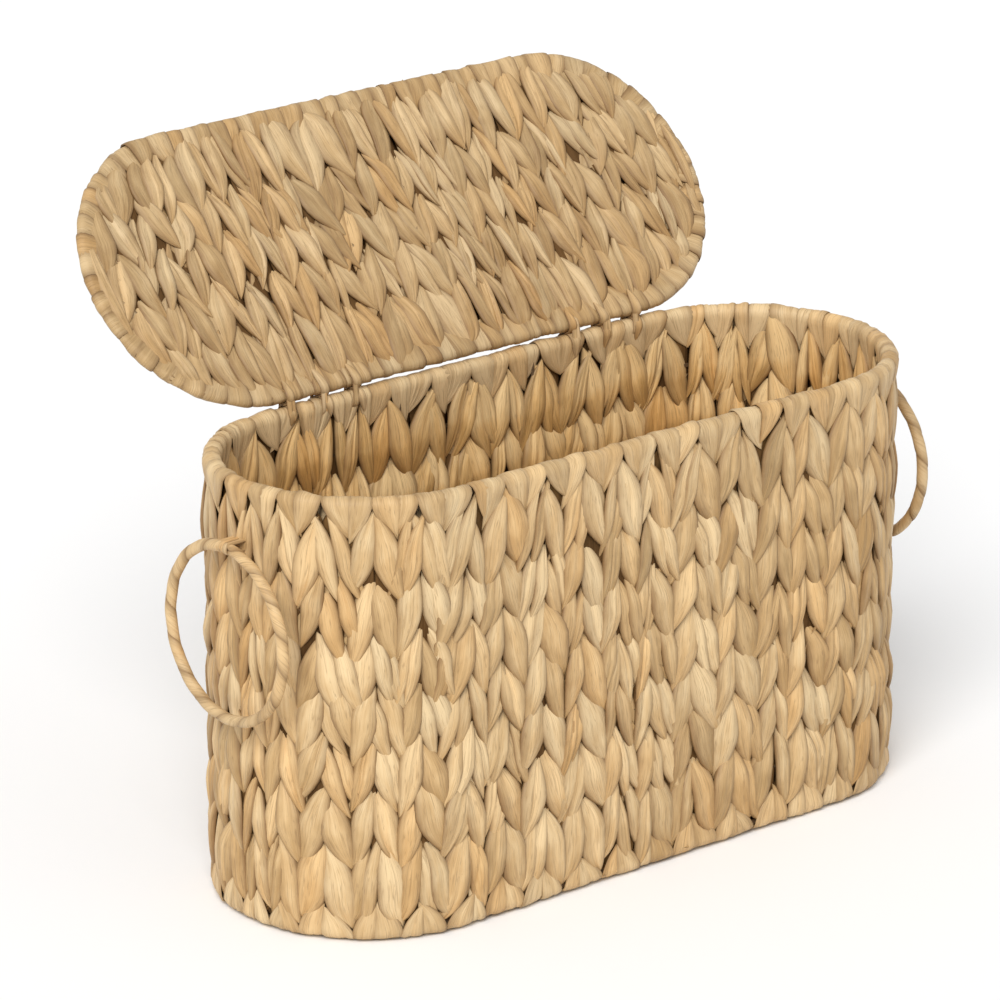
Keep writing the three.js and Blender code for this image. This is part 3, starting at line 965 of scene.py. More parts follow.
@dataclass(frozen=True)
class LeafFinish:
    """Dry leaf: fibre lines that gather at the tips, blotches, short stains, and painted shade in brown and
    amber at the edges and ends.

    Attributes:
        name: The material's name.
        slot: The record's material slot; it is not used.
        pale: Colour of the lightest leaves.
        straw: Colour of most leaves.
        tan: Colour of the darker ones.
        brown: Colour of stains and lines, and of the painted shade at the edges.
        amber: Colour of the painted shade at the tips.
        roughness: Roughness of the smooth stretches.
        fibre: Depth of the fibre lines, in metres.
        shine: Level of its reflections.
        edge_shade: Shares of painted shade in brown at the edges, on the darker and on the lighter blotches.
    """

    name: str
    slot: str
    pale: Colour
    straw: Colour
    tan: Colour
    brown: Colour = (0.168, 0.088, 0.033)
    amber: Colour = (0.46, 0.255, 0.085)
    roughness: float = 0.52
    fibre: float = 0.00024
    shine: float = 0.35
    edge_shade: Pair = (0.98, 0.72)

    # Where most values of a noise lie.
    MOST = (0.3, 0.7)
    # Noises along the leaf, across it and through it, on the leaf's own map.
    FIBRES = Grain((0.5, 13.0, 1.0), 4.0, 0.62)
    WRINKLES = Grain((0.9, 4.5, 1.0))
    BLOTCHES = Grain((0.55, 1.4, 1.0))
    VEINS = Grain((0.25, 5.0, 1.0))
    STAINS = Grain((1.6, 6.0, 1.0), 3.0, 0.6)
    # Changes of lightness.
    FIBRE_LIGHT = (-0.17, 0.17)
    BLOTCH_LIGHT = (-0.24, 0.24)
    # Tints from the warmest to the greyest leaves.
    TINTS = [(0.0, (1.0, 0.9, 0.76)), (0.45, (1.0, 1.0, 1.0)), (1.0, (0.92, 0.945, 0.98))]
    # Painted shade in amber at the tips: the blotches' range, and its shares on the darker and on the
    # lighter ones.
    TIP_BLOTCHES = (0.35, 0.65)
    TIP_AMBER = (0.75, 0.15)
    # Veins: their half widths on the noise, their shares of brown, and how the fibres break them up.
    VEIN_WIDTH = (0.003, 0.03)
    VEIN_BROWN = (0.5, 0.0)
    VEIN_FIBRES = (0.35, 0.6)
    VEIN_BREAKS = (0.2, 1.0)
    # Stains: the range of the noise where they show, and their shares of brown.
    STAIN_LEVELS = (0.63, 0.78)
    STAIN_BROWN = (0.0, 0.5)
    # Differences of roughness over the fibres.
    FIBRE_LEVELS = (0.2, 0.8)
    SMOOTHER = 0.08
    ROUGHER = 0.16
    # Depth of the wrinkles as a multiple of the fibres', and strengths of both bumps.
    WRINKLE_DEPTH = 2.5
    WRINKLE_BUMP = 0.8
    FIBRE_BUMP = 0.9

    def colour(self, sheet: NodeSheet, place: object, fibres: object) -> Socket:
        """Adds the nodes of the leaf's colour.

        Args:
            sheet: The node tree.
            place: The leaf's own map.
            fibres: The fibre lines.

        Returns:
            The colour.
        """
        looks = sheet.add("ShaderNodeAttribute", attribute_name=Sheaf.LOOKS)
        parts = sheet.add("ShaderNodeSeparateColor")
        sheet.join(looks.outputs["Color"], parts.inputs[0])
        tone, hue, edge = parts.outputs
        tip = looks.outputs["Alpha"]
        blotches = sheet.noise(place, self.BLOTCHES)
        lightness = sheet.math("ADD", tone, sheet.spread(fibres, self.MOST, self.FIBRE_LIGHT))
        lightness = sheet.math("ADD", lightness, sheet.spread(blotches, self.MOST, self.BLOTCH_LIGHT))
        colour = sheet.ramp(lightness, [(0.0, self.tan), (0.5, self.straw), (1.0, self.pale)])
        colour = sheet.blend("MULTIPLY", 1.0, colour, sheet.ramp(hue, self.TINTS))
        # Painted shade in amber towards the tips, where they dive between the leaves.
        warm = sheet.math("MULTIPLY", tip, sheet.spread(blotches, self.TIP_BLOTCHES, self.TIP_AMBER))
        colour = sheet.blend("MIX", warm, colour, (*self.amber, 1.0))
        veins = sheet.math("SUBTRACT", sheet.noise(place, self.VEINS), 0.5)
        vein = sheet.spread(sheet.math("ABSOLUTE", veins, 0.0), self.VEIN_WIDTH, self.VEIN_BROWN)
        vein = sheet.math("MULTIPLY", vein, sheet.spread(fibres, self.VEIN_FIBRES, self.VEIN_BREAKS))
        stains = sheet.noise(place, self.STAINS)
        stains = sheet.spread(stains, self.STAIN_LEVELS, self.STAIN_BROWN)
        colour = sheet.blend("MIX", sheet.math("MAXIMUM", vein, stains), colour, (*self.brown, 1.0))
        # Painted shade in brown towards the edges and under the strip, broken up by the blotches.
        worn = sheet.math("MULTIPLY", edge, sheet.spread(blotches, self.MOST, self.edge_shade))
        return sheet.blend("MIX", worn, colour, (*self.brown, 1.0))

    def material(self) -> bpy.types.Material:
        """Makes the material, or finds it if it was made before.

        Returns:
            The material.
        """
        made = bpy.data.materials.get(self.name)
        if made:
            return made
        sheet = NodeSheet(self.name)
        place = sheet.add("ShaderNodeUVMap", uv_map=Sheaf.LEAF_MAP).outputs[0]
        fibres = sheet.noise(place, self.FIBRES)
        wrinkles = sheet.noise(place, self.WRINKLES)
        shader = sheet.add("ShaderNodeBsdfPrincipled")
        sheet.join(self.colour(sheet, place, fibres), shader.inputs["Base Color"])
        roughness = (self.roughness - self.SMOOTHER, self.roughness + self.ROUGHER)
        sheet.join(sheet.spread(fibres, self.FIBRE_LEVELS, roughness), shader.inputs["Roughness"])
        shader.inputs["Specular IOR Level"].default_value = self.shine
        normal = sheet.bump(wrinkles, self.WRINKLE_DEPTH * self.fibre, self.WRINKLE_BUMP)
        sheet.join(sheet.bump(fibres, self.fibre, self.FIBRE_BUMP, normal), shader.inputs["Normal"])
        sheet.join(shader.outputs[0], sheet.output.inputs["Surface"])
        return sheet.material


@dataclass(frozen=True)
class WireFinish:
    """Dark painted steel wire, rubbed and dusty in places; its dark brown is painted shade where it shows
    between the leaves.

    Attributes:
        name: The material's name.
        paint: Colour of the paint, dark brown as painted shade in the gaps between the leaves.
        rubbed: Colour where it is worn.
        patches: Worn patches, to a metre.
        grain: Grains of the paint, to a metre.
        grain_depth: Their depth, in metres.
        grain_bump: Strength of their bump.
        worn: The range of the patches' noise where the paint wears through.
        roughness: Roughness of the whole and of the worn paint.
        metal: How much of its shine is a metal's.
    """

    name: str = "painted_wire"
    paint: Colour = (0.105, 0.062, 0.030)
    rubbed: Colour = (0.21, 0.135, 0.07)
    patches: Grain = Grain((220.0, 220.0, 220.0), 4.0, 0.6)
    grain: Grain = Grain((1400.0, 1400.0, 1400.0))
    grain_depth: float = 0.00012
    grain_bump: float = 0.6
    worn: Pair = (0.52, 0.7)
    roughness: Pair = (0.38, 0.7)
    metal: float = 0.35

    def material(self) -> bpy.types.Material:
        """Makes the material.

        Returns:
            The material.
        """
        sheet = NodeSheet(self.name)
        place = sheet.add("ShaderNodeTexCoord").outputs["Object"]
        patches = sheet.noise(place, self.patches)
        grain = sheet.noise(place, self.grain)
        shader = sheet.add("ShaderNodeBsdfPrincipled")
        share = sheet.spread(patches, self.worn, (0.0, 1.0))
        colour = sheet.blend("MIX", share, (*self.paint, 1.0), (*self.rubbed, 1.0))
        sheet.join(colour, shader.inputs["Base Color"])
        sheet.join(sheet.spread(patches, LeafFinish.MOST, self.roughness), shader.inputs["Roughness"])
        shader.inputs["Metallic"].default_value = self.metal
        sheet.join(sheet.bump(grain, self.grain_depth, self.grain_bump), shader.inputs["Normal"])
        sheet.join(shader.outputs[0], sheet.output.inputs["Surface"])
        return sheet.material


PALE = (0.745, 0.55, 0.305)
STRAW = (0.595, 0.398, 0.19)
TAN = (0.425, 0.266, 0.11)
# Darker copies of the wall's straw colours, for the lid's leaves and edge strips: painted shade on the lid.
LID_PALE = (0.63, 0.455, 0.246)
LID_TAN = (0.35, 0.214, 0.088)

WALL_LEAF = LeafFinish("dry_wall_leaf", "wall_leaf", PALE, STRAW, TAN)
# Lighter and more saturated than the outer leaves: painted bounce light inside the basket.
INNER_LEAF = LeafFinish(
    "dry_inner_leaf", "inner_leaf", (0.82, 0.58, 0.285), (0.73, 0.465, 0.19), (0.49, 0.283, 0.094)
)
# Painted shade: near-black brown strips with almost no shine, standing for the shade deep in the gaps
# between leaves.
FILLER_SHADE = LeafFinish(
    "dry_filler_leaf", "inner_leaf", (0.11, 0.06, 0.024), (0.075, 0.038, 0.014), (0.045, 0.022, 0.008),
    shine=0.03,
)
LID_LEAF = LeafFinish("dry_lid_leaf", "lid_leaf", LID_PALE, (0.495, 0.33, 0.155), LID_TAN)
# Less painted shade in brown at the edges than on the leaves.
EDGE_STRIP = LeafFinish(
    "dry_edge_strip", "edge_strip", (0.745, 0.548, 0.302), (0.59, 0.398, 0.194), (0.425, 0.267, 0.111),
    edge_shade=(0.8, 0.35),
)
LID_EDGE = LeafFinish("dry_lid_edge", "edge_strip", LID_PALE, (0.485, 0.322, 0.15), LID_TAN)
HANDLE_STRIP = LeafFinish("dry_handle_strip", "handle_strip", PALE, (0.65, 0.45, 0.23), (0.48, 0.30, 0.13))
TIE_STRIP = LeafFinish(
    "dry_tie_strip", "tie_strip", (0.72, 0.52, 0.29), (0.60, 0.40, 0.19), (0.42, 0.25, 0.10)
)

# Means and deviations of the strips' lightness and warmth, and the least lightness.
TONE = (0.62, 0.2)
HUE = (0.5, 0.23)
DARKEST = 0.08


def dress(piece: bpy.types.Object, finish: LeafFinish, body: str, *nodes: str) -> None:
    """Gives a piece its finish, its body and the CAD nodes that it stands for.

    Args:
        piece: The new piece, in place.
        finish: Its finish.
        body: The CAD body that it rides on.
        nodes: The CAD nodes that it replaces.
    """
    piece.data.materials.append(finish.material())
    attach(piece, body)
    if nodes:
        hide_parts(*nodes)
    log.info("%s: %d faces on %s", piece.name, len(piece.data.polygons), body)


def chance_tone(rng: Rng) -> dict[str, float]:
    """Draws a leaf's lightness and warmth.

    Args:
        rng: The source of chance.

    Returns:
        The tone and hue of a strip.
    """
    tone = float(np.clip(rng.normal(*TONE), DARKEST, 1.0))
    hue = float(np.clip(rng.normal(*HUE), 0.0, 1.0))
    return {"tone": tone, "hue": hue}


@dataclass
class Columns:
    """Columns of leaves side by side, with the small differences of hand work.

    Attributes:
        middles: Places of the columns' middles.
        widths: Their widths.
        leans: The way that each one leans: leaves lean in turn to one side and to the other.
    """

    middles: Array
    widths: Array
    leans: Array

    # Ranges of a pair's width against the others', and of the share of its first column.
    PAIR_WIDTHS = (0.74, 1.3)
    FIRST_SHARES = (0.42, 0.58)

    def __iter__(self) -> Iterator[Triple]:
        """Goes through the columns' middles, widths and leans."""
        return zip(self.middles, self.widths, self.leans)

    @classmethod
    def over(cls, start: float, length: float, width: float, rng: Rng) -> "Columns":
        """Shares a length out among pairs of columns.

        Args:
            start: Where the first column begins.
            length: The length to share.
            width: About how wide a column is.
            rng: The source of the differences.

        Returns:
            The columns, an even number of them.
        """
        pairs = round(length / width / 2)
        pair_widths = rng.uniform(*cls.PAIR_WIDTHS, pairs)
        halves = rng.uniform(*cls.FIRST_SHARES, pairs)
        widths = np.stack([pair_widths * halves, pair_widths * (1 - halves)], -1).ravel()
        widths *= length / widths.sum()
        middles = start + np.cumsum(widths) - widths / 2
        return cls(middles, widths, np.tile([1.0, -1.0], pairs))

    def centred_on(self, places: list[float], length: float) -> "Columns":
        """Moves the columns a little, so that the middle of a column lies on each of some places.

        Args:
            places: The places.
            length: The length that the columns share.

        Returns:
            The moved columns.
        """
        goals = np.sort(places)
        nearest = np.array([self.middles[np.abs(self.middles - goal).argmin()] for goal in goals])
        before, after = (
            np.concatenate([row[-1:] - length, row, row[:1] + length]) for row in (nearest, goals)
        )
        edges = np.append(self.middles - self.widths / 2, self.middles[-1] + self.widths[-1] / 2)
        edges = np.interp(edges, before, after)
        return Columns((edges[1:] + edges[:-1]) / 2, np.diff(edges), self.leans)

    @classmethod
    def across(cls, plan: OvalPlan, width: float, rng: Rng) -> "Columns":
        """Shares out the whole length of a flat sheet.

        Args:
            plan: The oval of its hoop.
            width: About how wide a column is.
            rng: The source of the differences.

        Returns:
            The columns, from left to right.
        """
        half = plan.half_straight + plan.radius
        return cls.over(-half, 2 * half, width, rng)


@dataclass(frozen=True)
class LeafChance:
    """The differences between leaves: ranges of even chance, and deviations from the usual.

    Attributes:
        reach: Range of a leaf's reach, as shares of the usual one.
        along: Deviation of its place along the sheet.
        up: Deviation of its place up the sheet.
        lean: Range of its tips' lean, as shares.
        drift: Range of its slant, as shares.
        tips: How far its lower and its upper tip lie over the usual height of a tip.
        tip_height: Deviation of a tip's height.
        height: Deviation of its height over the wire.
        width: Range of its width, as shares.
        crown: Range of its crown, as shares.
        roll: Deviation of its slope across.
        creases: The least number of creases, and the first that is too many.
        split: Share of the leaves that are split.
    """

    reach: Pair = (0.86, 1.15)
    along: float = 0.8
    up: float = 2.2
    lean: Pair = (0.6, 1.25)
    drift: Pair = (0.4, 1.5)
    tips: Pair = (1.1, -1.5)
    tip_height: float = 0.5
    height: float = 0.4
    width: Pair = (0.9, 1.16)
    crown: Pair = (0.8, 1.12)
    roll: float = 0.13
    creases: tuple[int, int] = (2, 6)
    split: float = 0.2


@dataclass(frozen=True)
class LeafSizes:
    """The build of the leaves of one woven sheet.

    Attributes:
        column: Width of a column of leaves.
        overlap: Width of a leaf as a share of its column.
        lean: Sideways shift of a leaf's tip as it narrows, as a share of its column.
        drift: Sideways shift of the tip from a leaf's slant, as a share of its column.
        reach: Length from a leaf's middle to its tip.
        over_wire: Height of its underside where it passes over a wire.
        at_tip: Height of its underside at its tips.
        crown: Height of its back.
        pairs: Share of the columns where two narrow leaves lie side by side, more of the wide ones.
        shade: Painted shade towards a leaf's lower end and painted light towards its upper end, as changes
            of lightness.
        chance: The differences between the leaves.
    """

    column: float = 11.8
    overlap: float = 1.2
    lean: float = 0.5
    drift: float = 0.17
    reach: float = 24.6
    over_wire: float = 1.9
    at_tip: float = -0.8
    crown: float = 3.1
    pairs: float = 0.34
    shade: Pair = (-0.22, 0.12)
    chance: LeafChance = LeafChance()

    # Two leaves in a column: power of its width, range of the first one's share, how far they lap over each
    # other, range of their crowns as shares, and deviation of their tones.
    PAIR_POWER = 2.5
    PAIR_SHARE = (0.4, 0.6)
    PAIR_LAP = 0.16
    PAIR_CROWN = (0.75, 0.95)
    PAIR_TONE = 0.12

    def leaf(self, along: float, up: float, width: float, lean: float, rng: Rng) -> Strip:
        """Draws one leaf.

        Args:
            along: Place of its column.
            up: Level of the wire that it passes over.
            width: Width of its column.
            lean: 1 where its lower end leans along the sheet, and -1 where it leans back.
            rng: The source of its differences.

        Returns:
            The leaf.
        """
        chance = self.chance
        shift, slant = lean * self.lean * width, lean * self.drift * width
        low, high = self.reach * rng.uniform(*chance.reach, 2)
        return Strip(
            along=along + rng.normal(0, chance.along),
            up=up + rng.normal(0, chance.up),
            reach=(low, high),
            lean=(shift * rng.uniform(*chance.lean), -shift * rng.uniform(*chance.lean)),
            drift=(slant * rng.uniform(*chance.drift), -slant * rng.uniform(*chance.drift)),
            lift=(
                self.at_tip + rng.normal(chance.tips[0], chance.tip_height),
                self.over_wire + rng.normal(0, chance.height),
                self.at_tip + rng.normal(chance.tips[1], chance.tip_height),
            ),
            width=self.overlap * width * rng.uniform(*chance.width),
            crown=self.crown * rng.uniform(*chance.crown),
            roll=rng.normal(0, chance.roll),
            shade=self.shade,
            creases=int(rng.integers(*chance.creases)),
            split=bool(rng.random() < chance.split),
            **chance_tone(rng),
        )

    def leaves(self, along: float, up: float, width: float, lean: float, rng: Rng) -> list[Strip]:
        """Draws the leaf of one column, or two narrow ones that share it.

        Args:
            along: Place of the column.
            up: Level of the wire.
            width: Width of the column.
            lean: 1 where the lower end leans along the sheet, and -1 where it leans back.
            rng: The source of the differences.

        Returns:
            One leaf or two.
        """
        whole = self.leaf(along, up, width, lean, rng)
        if rng.random() > self.pairs * (width / self.column) ** self.PAIR_POWER:
            return [whole]
        share = rng.uniform(*self.PAIR_SHARE)
        return [
            replace(
                self.leaf(along + side * (1 - part) * 0.5 * width, up, width, lean, rng),
                width=whole.width * (part + self.PAIR_LAP),
                crown=whole.crown * rng.uniform(*self.PAIR_CROWN),
                split=False,
                tone=float(np.clip(whole.tone + rng.normal(0, self.PAIR_TONE), 0, 1)),
                hue=whole.hue,
            )
            for side, part in ((-1, share), (1, 1 - share))
        ]


@dataclass(frozen=True)
class Filler:
    """Flat strips along the columns that close the gaps between leaves.

    They pass in front of one wire and behind the next.

    Attributes:
        overlap: Width of a strip as a share of its column.
        depth: Height of its waves over and under the wires.
        crown: Height of its back.
        bluntness: Its outline.
        lean: Deviation of its ends' lean.
        tone: Its lightness as a share of a leaf's, lowered as painted shade in the gaps.
        ring_step: About how far its sections lie apart.
    """

    overlap: float = 1.35
    depth: float = 0.8
    crown: float = 0.5
    bluntness: Triple = (16.0, 16.0, 0.6)
    lean: float = 0.6
    tone: float = 0.6
    ring_step: float = 4

    def strip(self, along: float, up: float, reach: float, width: float, wave: float, rng: Rng) -> Strip:
        """Draws one strip.

        Args:
            along: Place of its column.
            up: Place of its middle.
            reach: Half its length.
            width: Width of its column.
            wave: Length of its waves, negative where it starts behind the middle wire.
            rng: The source of its differences.

        Returns:
            The strip.
        """
        look = chance_tone(rng)
        return Strip(
            along=along,
            up=up,
            reach=(reach, reach),
            lean=(rng.normal(0, self.lean), rng.normal(0, self.lean)),
            lift=(0.0, 0.0, 0.0),
            width=self.overlap * width,
            crown=self.crown,
            bluntness=self.bluntness,
            wave=(math.copysign(self.depth, wave), abs(wave)),
            tone=self.tone * look["tone"],
            hue=look["hue"],
            creases=1,
            rings=3 + 2 * math.ceil(reach / self.ring_step),
            back_points=7,
            under_points=2,
        )


@dataclass
class WallWeave:
    """The upright wall: one course of leaves over each hoop, outside and inside.

    Attributes:
        plan: The hoops' oval.
        hoops: Levels of the hoops between the base and the rim.
        columns: The wall's columns.
        stays: Places of the upright wires along the oval, inside the hoops.
        sizes: The build of the leaves.
        top_reach: Length of the top course's leaves over their hoop.
        top_end: Height and outline of their upper ends.
        foot_reach: Length of the lowest course's leaves under their hoop.
        foot_end: Height and outline of their lower ends.
        inner_shade: Painted shade towards the lower ends and painted light towards the upper ends of the
            leaves inside.
        stay_lift: How much higher a leaf lies over a stay.
        stay_width: How much wider it is there.
        filler_inset: How far the fillers end short of the next hoop.
        painted_light_wave: Painted light and shade that rises and falls twice round the wall, as a change of
            lightness.
        painted_light_start: Place along the wall of the middle of a lighter stretch of that painted light.
    """

    plan: OvalPlan
    hoops: list[float]
    columns: Columns
    stays: list[float]
    sizes: LeafSizes = LeafSizes()
    top_reach: float = 25.5
    top_end: Pair = (1.5, 1.8)
    foot_reach: float = 26.0
    foot_end: Pair = (0.4, 4.0)
    inner_shade: Pair = (-0.75, 0.3)
    stay_lift: float = 1.4
    stay_width: float = 1.1
    filler_inset: float = 2.5
    painted_light_wave: float = 0.1
    painted_light_start: float = 20

    def course(self, number: int, side: Side, rng: Rng) -> Sheaf:
        """Lays one course of leaves.

        Args:
            number: The hoop's number, from 1 at the bottom.
            side: The wall's outer side, front, or its inner side.
            rng: The source of the leaves' differences.

        Returns:
            The sheaf of the course.
        """
        name = f"wall_{'outer' if side is Side.FRONT else 'inner'}_course_{number}"
        sheaf = Sheaf(name, WallSurface(self.plan, side), rng)
        level = self.hoops[number - 1]
        for middle, width, lean in self.columns:
            # Painted light and shade along the wall: a slow wave of lightness round the girth.
            painted_light_wave = self.painted_light_wave * math.cos(4 * math.pi * (middle - self.painted_light_start) / self.plan.girth)
            over_stay = min(abs(middle - stay) for stay in self.stays) < 0.5 * width
            if over_stay:
                leaves = [self.sizes.leaf(middle, level, width, side.value * lean, rng)]
            else:
                leaves = self.sizes.leaves(middle, level, width, side.value * lean, rng)
            for leaf in leaves:
                leaf.tone += painted_light_wave
                if number == len(self.hoops):
                    leaf.end_at(Tip.UPPER, self.top_reach, *self.top_end)
                if number == 1:
                    leaf.end_at(Tip.LOWER, self.foot_reach, *self.foot_end)
                # Inside, stronger painted shade at the lower ends and painted light at the upper ends.
                if side is Side.BACK:
                    leaf.shade = self.inner_shade
                if side is Side.BACK and over_stay:
                    leaf.lift = tuple(lift + self.stay_lift for lift in leaf.lift)
                    leaf.width = max(leaf.width, self.sizes.overlap * width) * self.stay_width
                sheaf.add(leaf)
        return sheaf

    def fillers(self, rng: Rng) -> Sheaf:
        """Lays the filler strips between the outer and the inner leaves.

        Args:
            rng: The source of the strips' differences.

        Returns:
            The sheaf of the fillers.
        """
        sheaf = Sheaf("wall_filler_strips", WallSurface(self.plan, Side.FRONT), rng)
        pitch = self.hoops[1] - self.hoops[0]
        middle = (self.hoops[0] + self.hoops[-1]) / 2
        reach = (self.hoops[-1] - self.hoops[0]) / 2 + pitch - self.filler_inset
        for along, width, lean in self.columns:
            sheaf.add(Filler().strip(along, middle, reach, width, lean * 2 * pitch, rng))
        return sheaf

    def build(self, rng: Rng) -> None:
        """Builds and dresses every course, outside and inside.

        Args:
            rng: The source of the differences.
        """
        dress(self.fillers(rng).build(), FILLER_SHADE, "basket", "wall_outer_weave", "wall_inner_weave")
        sides = ((Side.FRONT, WALL_LEAF, "wall_outer_weave"), (Side.BACK, INNER_LEAF, "wall_inner_weave"))
        for side, finish, node in sides:
            for number in range(1, len(self.hoops) + 1):
                dress(self.course(number, side, rng).build(), finish, "basket", node)


@dataclass(frozen=True)
class EdgeSizes:
    """The build of strips folded over an edge.

    Attributes:
        overlap: Width of a strip as a share of its column.
        lean: Sideways shift of its ends as a share of its column.
        drift: Sideways shift of its ends from its slant, as a share of its lean.
        crown: Height of its back.
        bluntness: Outline of the strips.
        shortest: The shortest legs as a share of the longest.
        lift: Range of its height over the fold.
        chance: Other differences between the strips.
    """

    overlap: float = 1.22
    lean: float = 0.5
    drift: float = 0.3
    crown: float = 1.05
    bluntness: Triple = (1.75, 2.1, 0.9)
    shortest: float = 0.74
    lift: Pair = (-0.3, 0.35)
    chance: LeafChance = LeafChance(
        along=0.4, lean=(0.8, 1.2), drift=(0.0, 1.5), width=(0.92, 1.1), crown=(0.85, 1.15), roll=0.07,
        creases=(3, 7), split=0.18,
    )

    def strip(self, middle: float, width: float, lean: float, line: FoldLine, rng: Rng) -> Strip:
        """Draws one folded strip.

        Args:
            middle: Place of its column.
            width: Width of its column.
            lean: 1 where its lower end leans along the edge, and -1 where it leans back.
            line: The fold that it follows.
            rng: The source of its differences.

        Returns:
            The strip.
        """
        chance = self.chance
        shift = lean * self.lean * width
        slant = self.drift * shift
        low, high = line.reach
        lift = rng.uniform(*self.lift)
        return Strip(
            along=middle + rng.normal(0, chance.along),
            reach=(low * rng.uniform(self.shortest, 1.0), high * rng.uniform(self.shortest, 1.0)),
            lean=(shift * rng.uniform(*chance.lean), -shift * rng.uniform(*chance.lean)),
            lift=(lift, lift, lift),
            drift=(slant * rng.uniform(*chance.drift), -slant * rng.uniform(*chance.drift)),
            width=self.overlap * width * rng.uniform(*chance.width),
            crown=self.crown * rng.uniform(*chance.crown),
            bluntness=self.bluntness,
            roll=rng.normal(0, chance.roll),
            creases=int(rng.integers(*chance.creases)),
            split=bool(rng.random() < chance.split),
            rings=31,
            **chance_tone(rng),
        )


# Steps in a leg or an arc of a fold, and the share of a leg's distance out that it gives up at its tip.
FOLD_STEPS = 24
TUCK = 0.95


def leg_line(height: float, radius: float, power: float) -> Array:
    """Draws the leg of a fold from its tucked-in tip to its full distance out.

    Args:
        height: Length of the leg.
        radius: Its distance out at the top.
        power: How late it tucks in.

    Returns:
        Rows of distance out and of height over the tip.
    """
    share = np.linspace(0, 1, FOLD_STEPS)
    return np.stack([radius * (1 - TUCK * (1 - share) ** power), height * share], -1)


def arc_line(middle: Pair, radius: float, start: float, end: float) -> Array:
    """Draws an arc of a fold between two angles in degrees, without its two end points."""
    turns = np.radians(np.linspace(start, end, FOLD_STEPS))[1:-1]
    return np.stack([middle[0] + radius * np.cos(turns), middle[1] + radius * np.sin(turns)], -1)


@dataclass
class BasketEdges:
    """Strips folded over the rim, and strips folded under the foot of the wall.

    Attributes:
        plan: The hoops' oval.
        rim: Level of the rim hoop.
        foot: Level of the base hoop.
        columns: The wall's columns.
        bar: Radius that the strips' undersides follow round the rim hoop.
        foot_bar: Radius that they follow round the base hoop.
        leg: Length of a rim strip's leg below the hoop.
        leg_power: How late it tucks in.
        foot_leg: Length of a foot strip's leg up the wall.
        foot_power: How late it tucks in.
        under: How far a foot strip reaches in under the base.
        under_rise: How far it rises there.
        foot_middle: The share of a foot strip's length where it is widest.
        rim_shade: Changes of a rim strip's lightness towards its outer and its inner end: painted light on
            its inner leg, inside the rim.
        sizes: The build of the strips.
    """

    plan: OvalPlan
    rim: float
    foot: float
    columns: Columns
    bar: float = 3.8
    foot_bar: float = 2.8
    leg: float = 23.5
    leg_power: float = 1.3
    foot_leg: float = 19.0
    foot_power: float = 2.2
    under: float = 26.0
    under_rise: float = 1.2
    foot_middle: float = 0.52
    rim_shade: Pair = (0.0, 0.55)
    sizes: EdgeSizes = EdgeSizes()

    def rim_fold(self) -> FoldSurface:
        """Lays the fold over the rim.

        Returns:
            The fold, from the outside tip to the inside tip.
        """
        leg = leg_line(self.leg, self.bar, self.leg_power) + [0, self.rim - self.leg]
        over = arc_line((0, self.rim), self.bar, 0, 180)
        return FoldSurface(self.plan, FoldLine(np.concatenate([leg, over, leg[::-1] * [-1, 1]]), 0.5))

    def foot_fold(self) -> FoldSurface:
        """Lays the fold under the foot.

        Returns:
            The fold, from the tip under the base to the tip up the wall.
        """
        floor = self.foot - self.foot_bar
        inward = np.stack([np.linspace(-self.under, 0, FOLD_STEPS), np.full(FOLD_STEPS, floor)], -1)
        inward[:, 1] += self.under_rise * np.linspace(1, 0, FOLD_STEPS) ** 2
        corner = arc_line((0, self.foot), self.foot_bar, -90, 0)
        leg = leg_line(self.foot_leg, self.foot_bar, self.foot_power)
        leg = leg[::-1] * [1, -1] + [0, self.foot + self.foot_leg]
        return FoldSurface(self.plan, FoldLine(np.concatenate([inward, corner, leg]), self.foot_middle))

    def build(self, rng: Rng) -> None:
        """Builds and dresses the strips of both edges.

        Args:
            rng: The source of the differences.
        """
        rim, foot = self.rim_fold(), self.foot_fold()
        # The rim strips' inner legs are lighter: painted light inside the rim.
        self.lay("rim_strips", rim, "rim_wrap", self.rim_shade, rng)
        self.lay("foot_strips", foot, "base_edge_wrap", (0.0, 0.0), rng)

    def lay(self, name: str, fold: FoldSurface, node: str, shade: Pair, rng: Rng) -> None:
        """Lays one strip to each column, and dresses the piece.

        Args:
            name: Name of the piece.
            fold: The fold that the strips follow.
            node: The CAD node that they stand for.
            shade: Painted light and shade towards the strips' two ends, as changes of lightness.
            rng: The source of the strips' differences.
        """
        sheaf = Sheaf(name, fold, rng)
        for middle, width, lean in self.columns:
            strip = self.sizes.strip(middle, width, lean, fold.line, rng)
            strip.shade = shade
            sheaf.add(strip)
        dress(sheaf.build(), EDGE_STRIP, "basket", node)


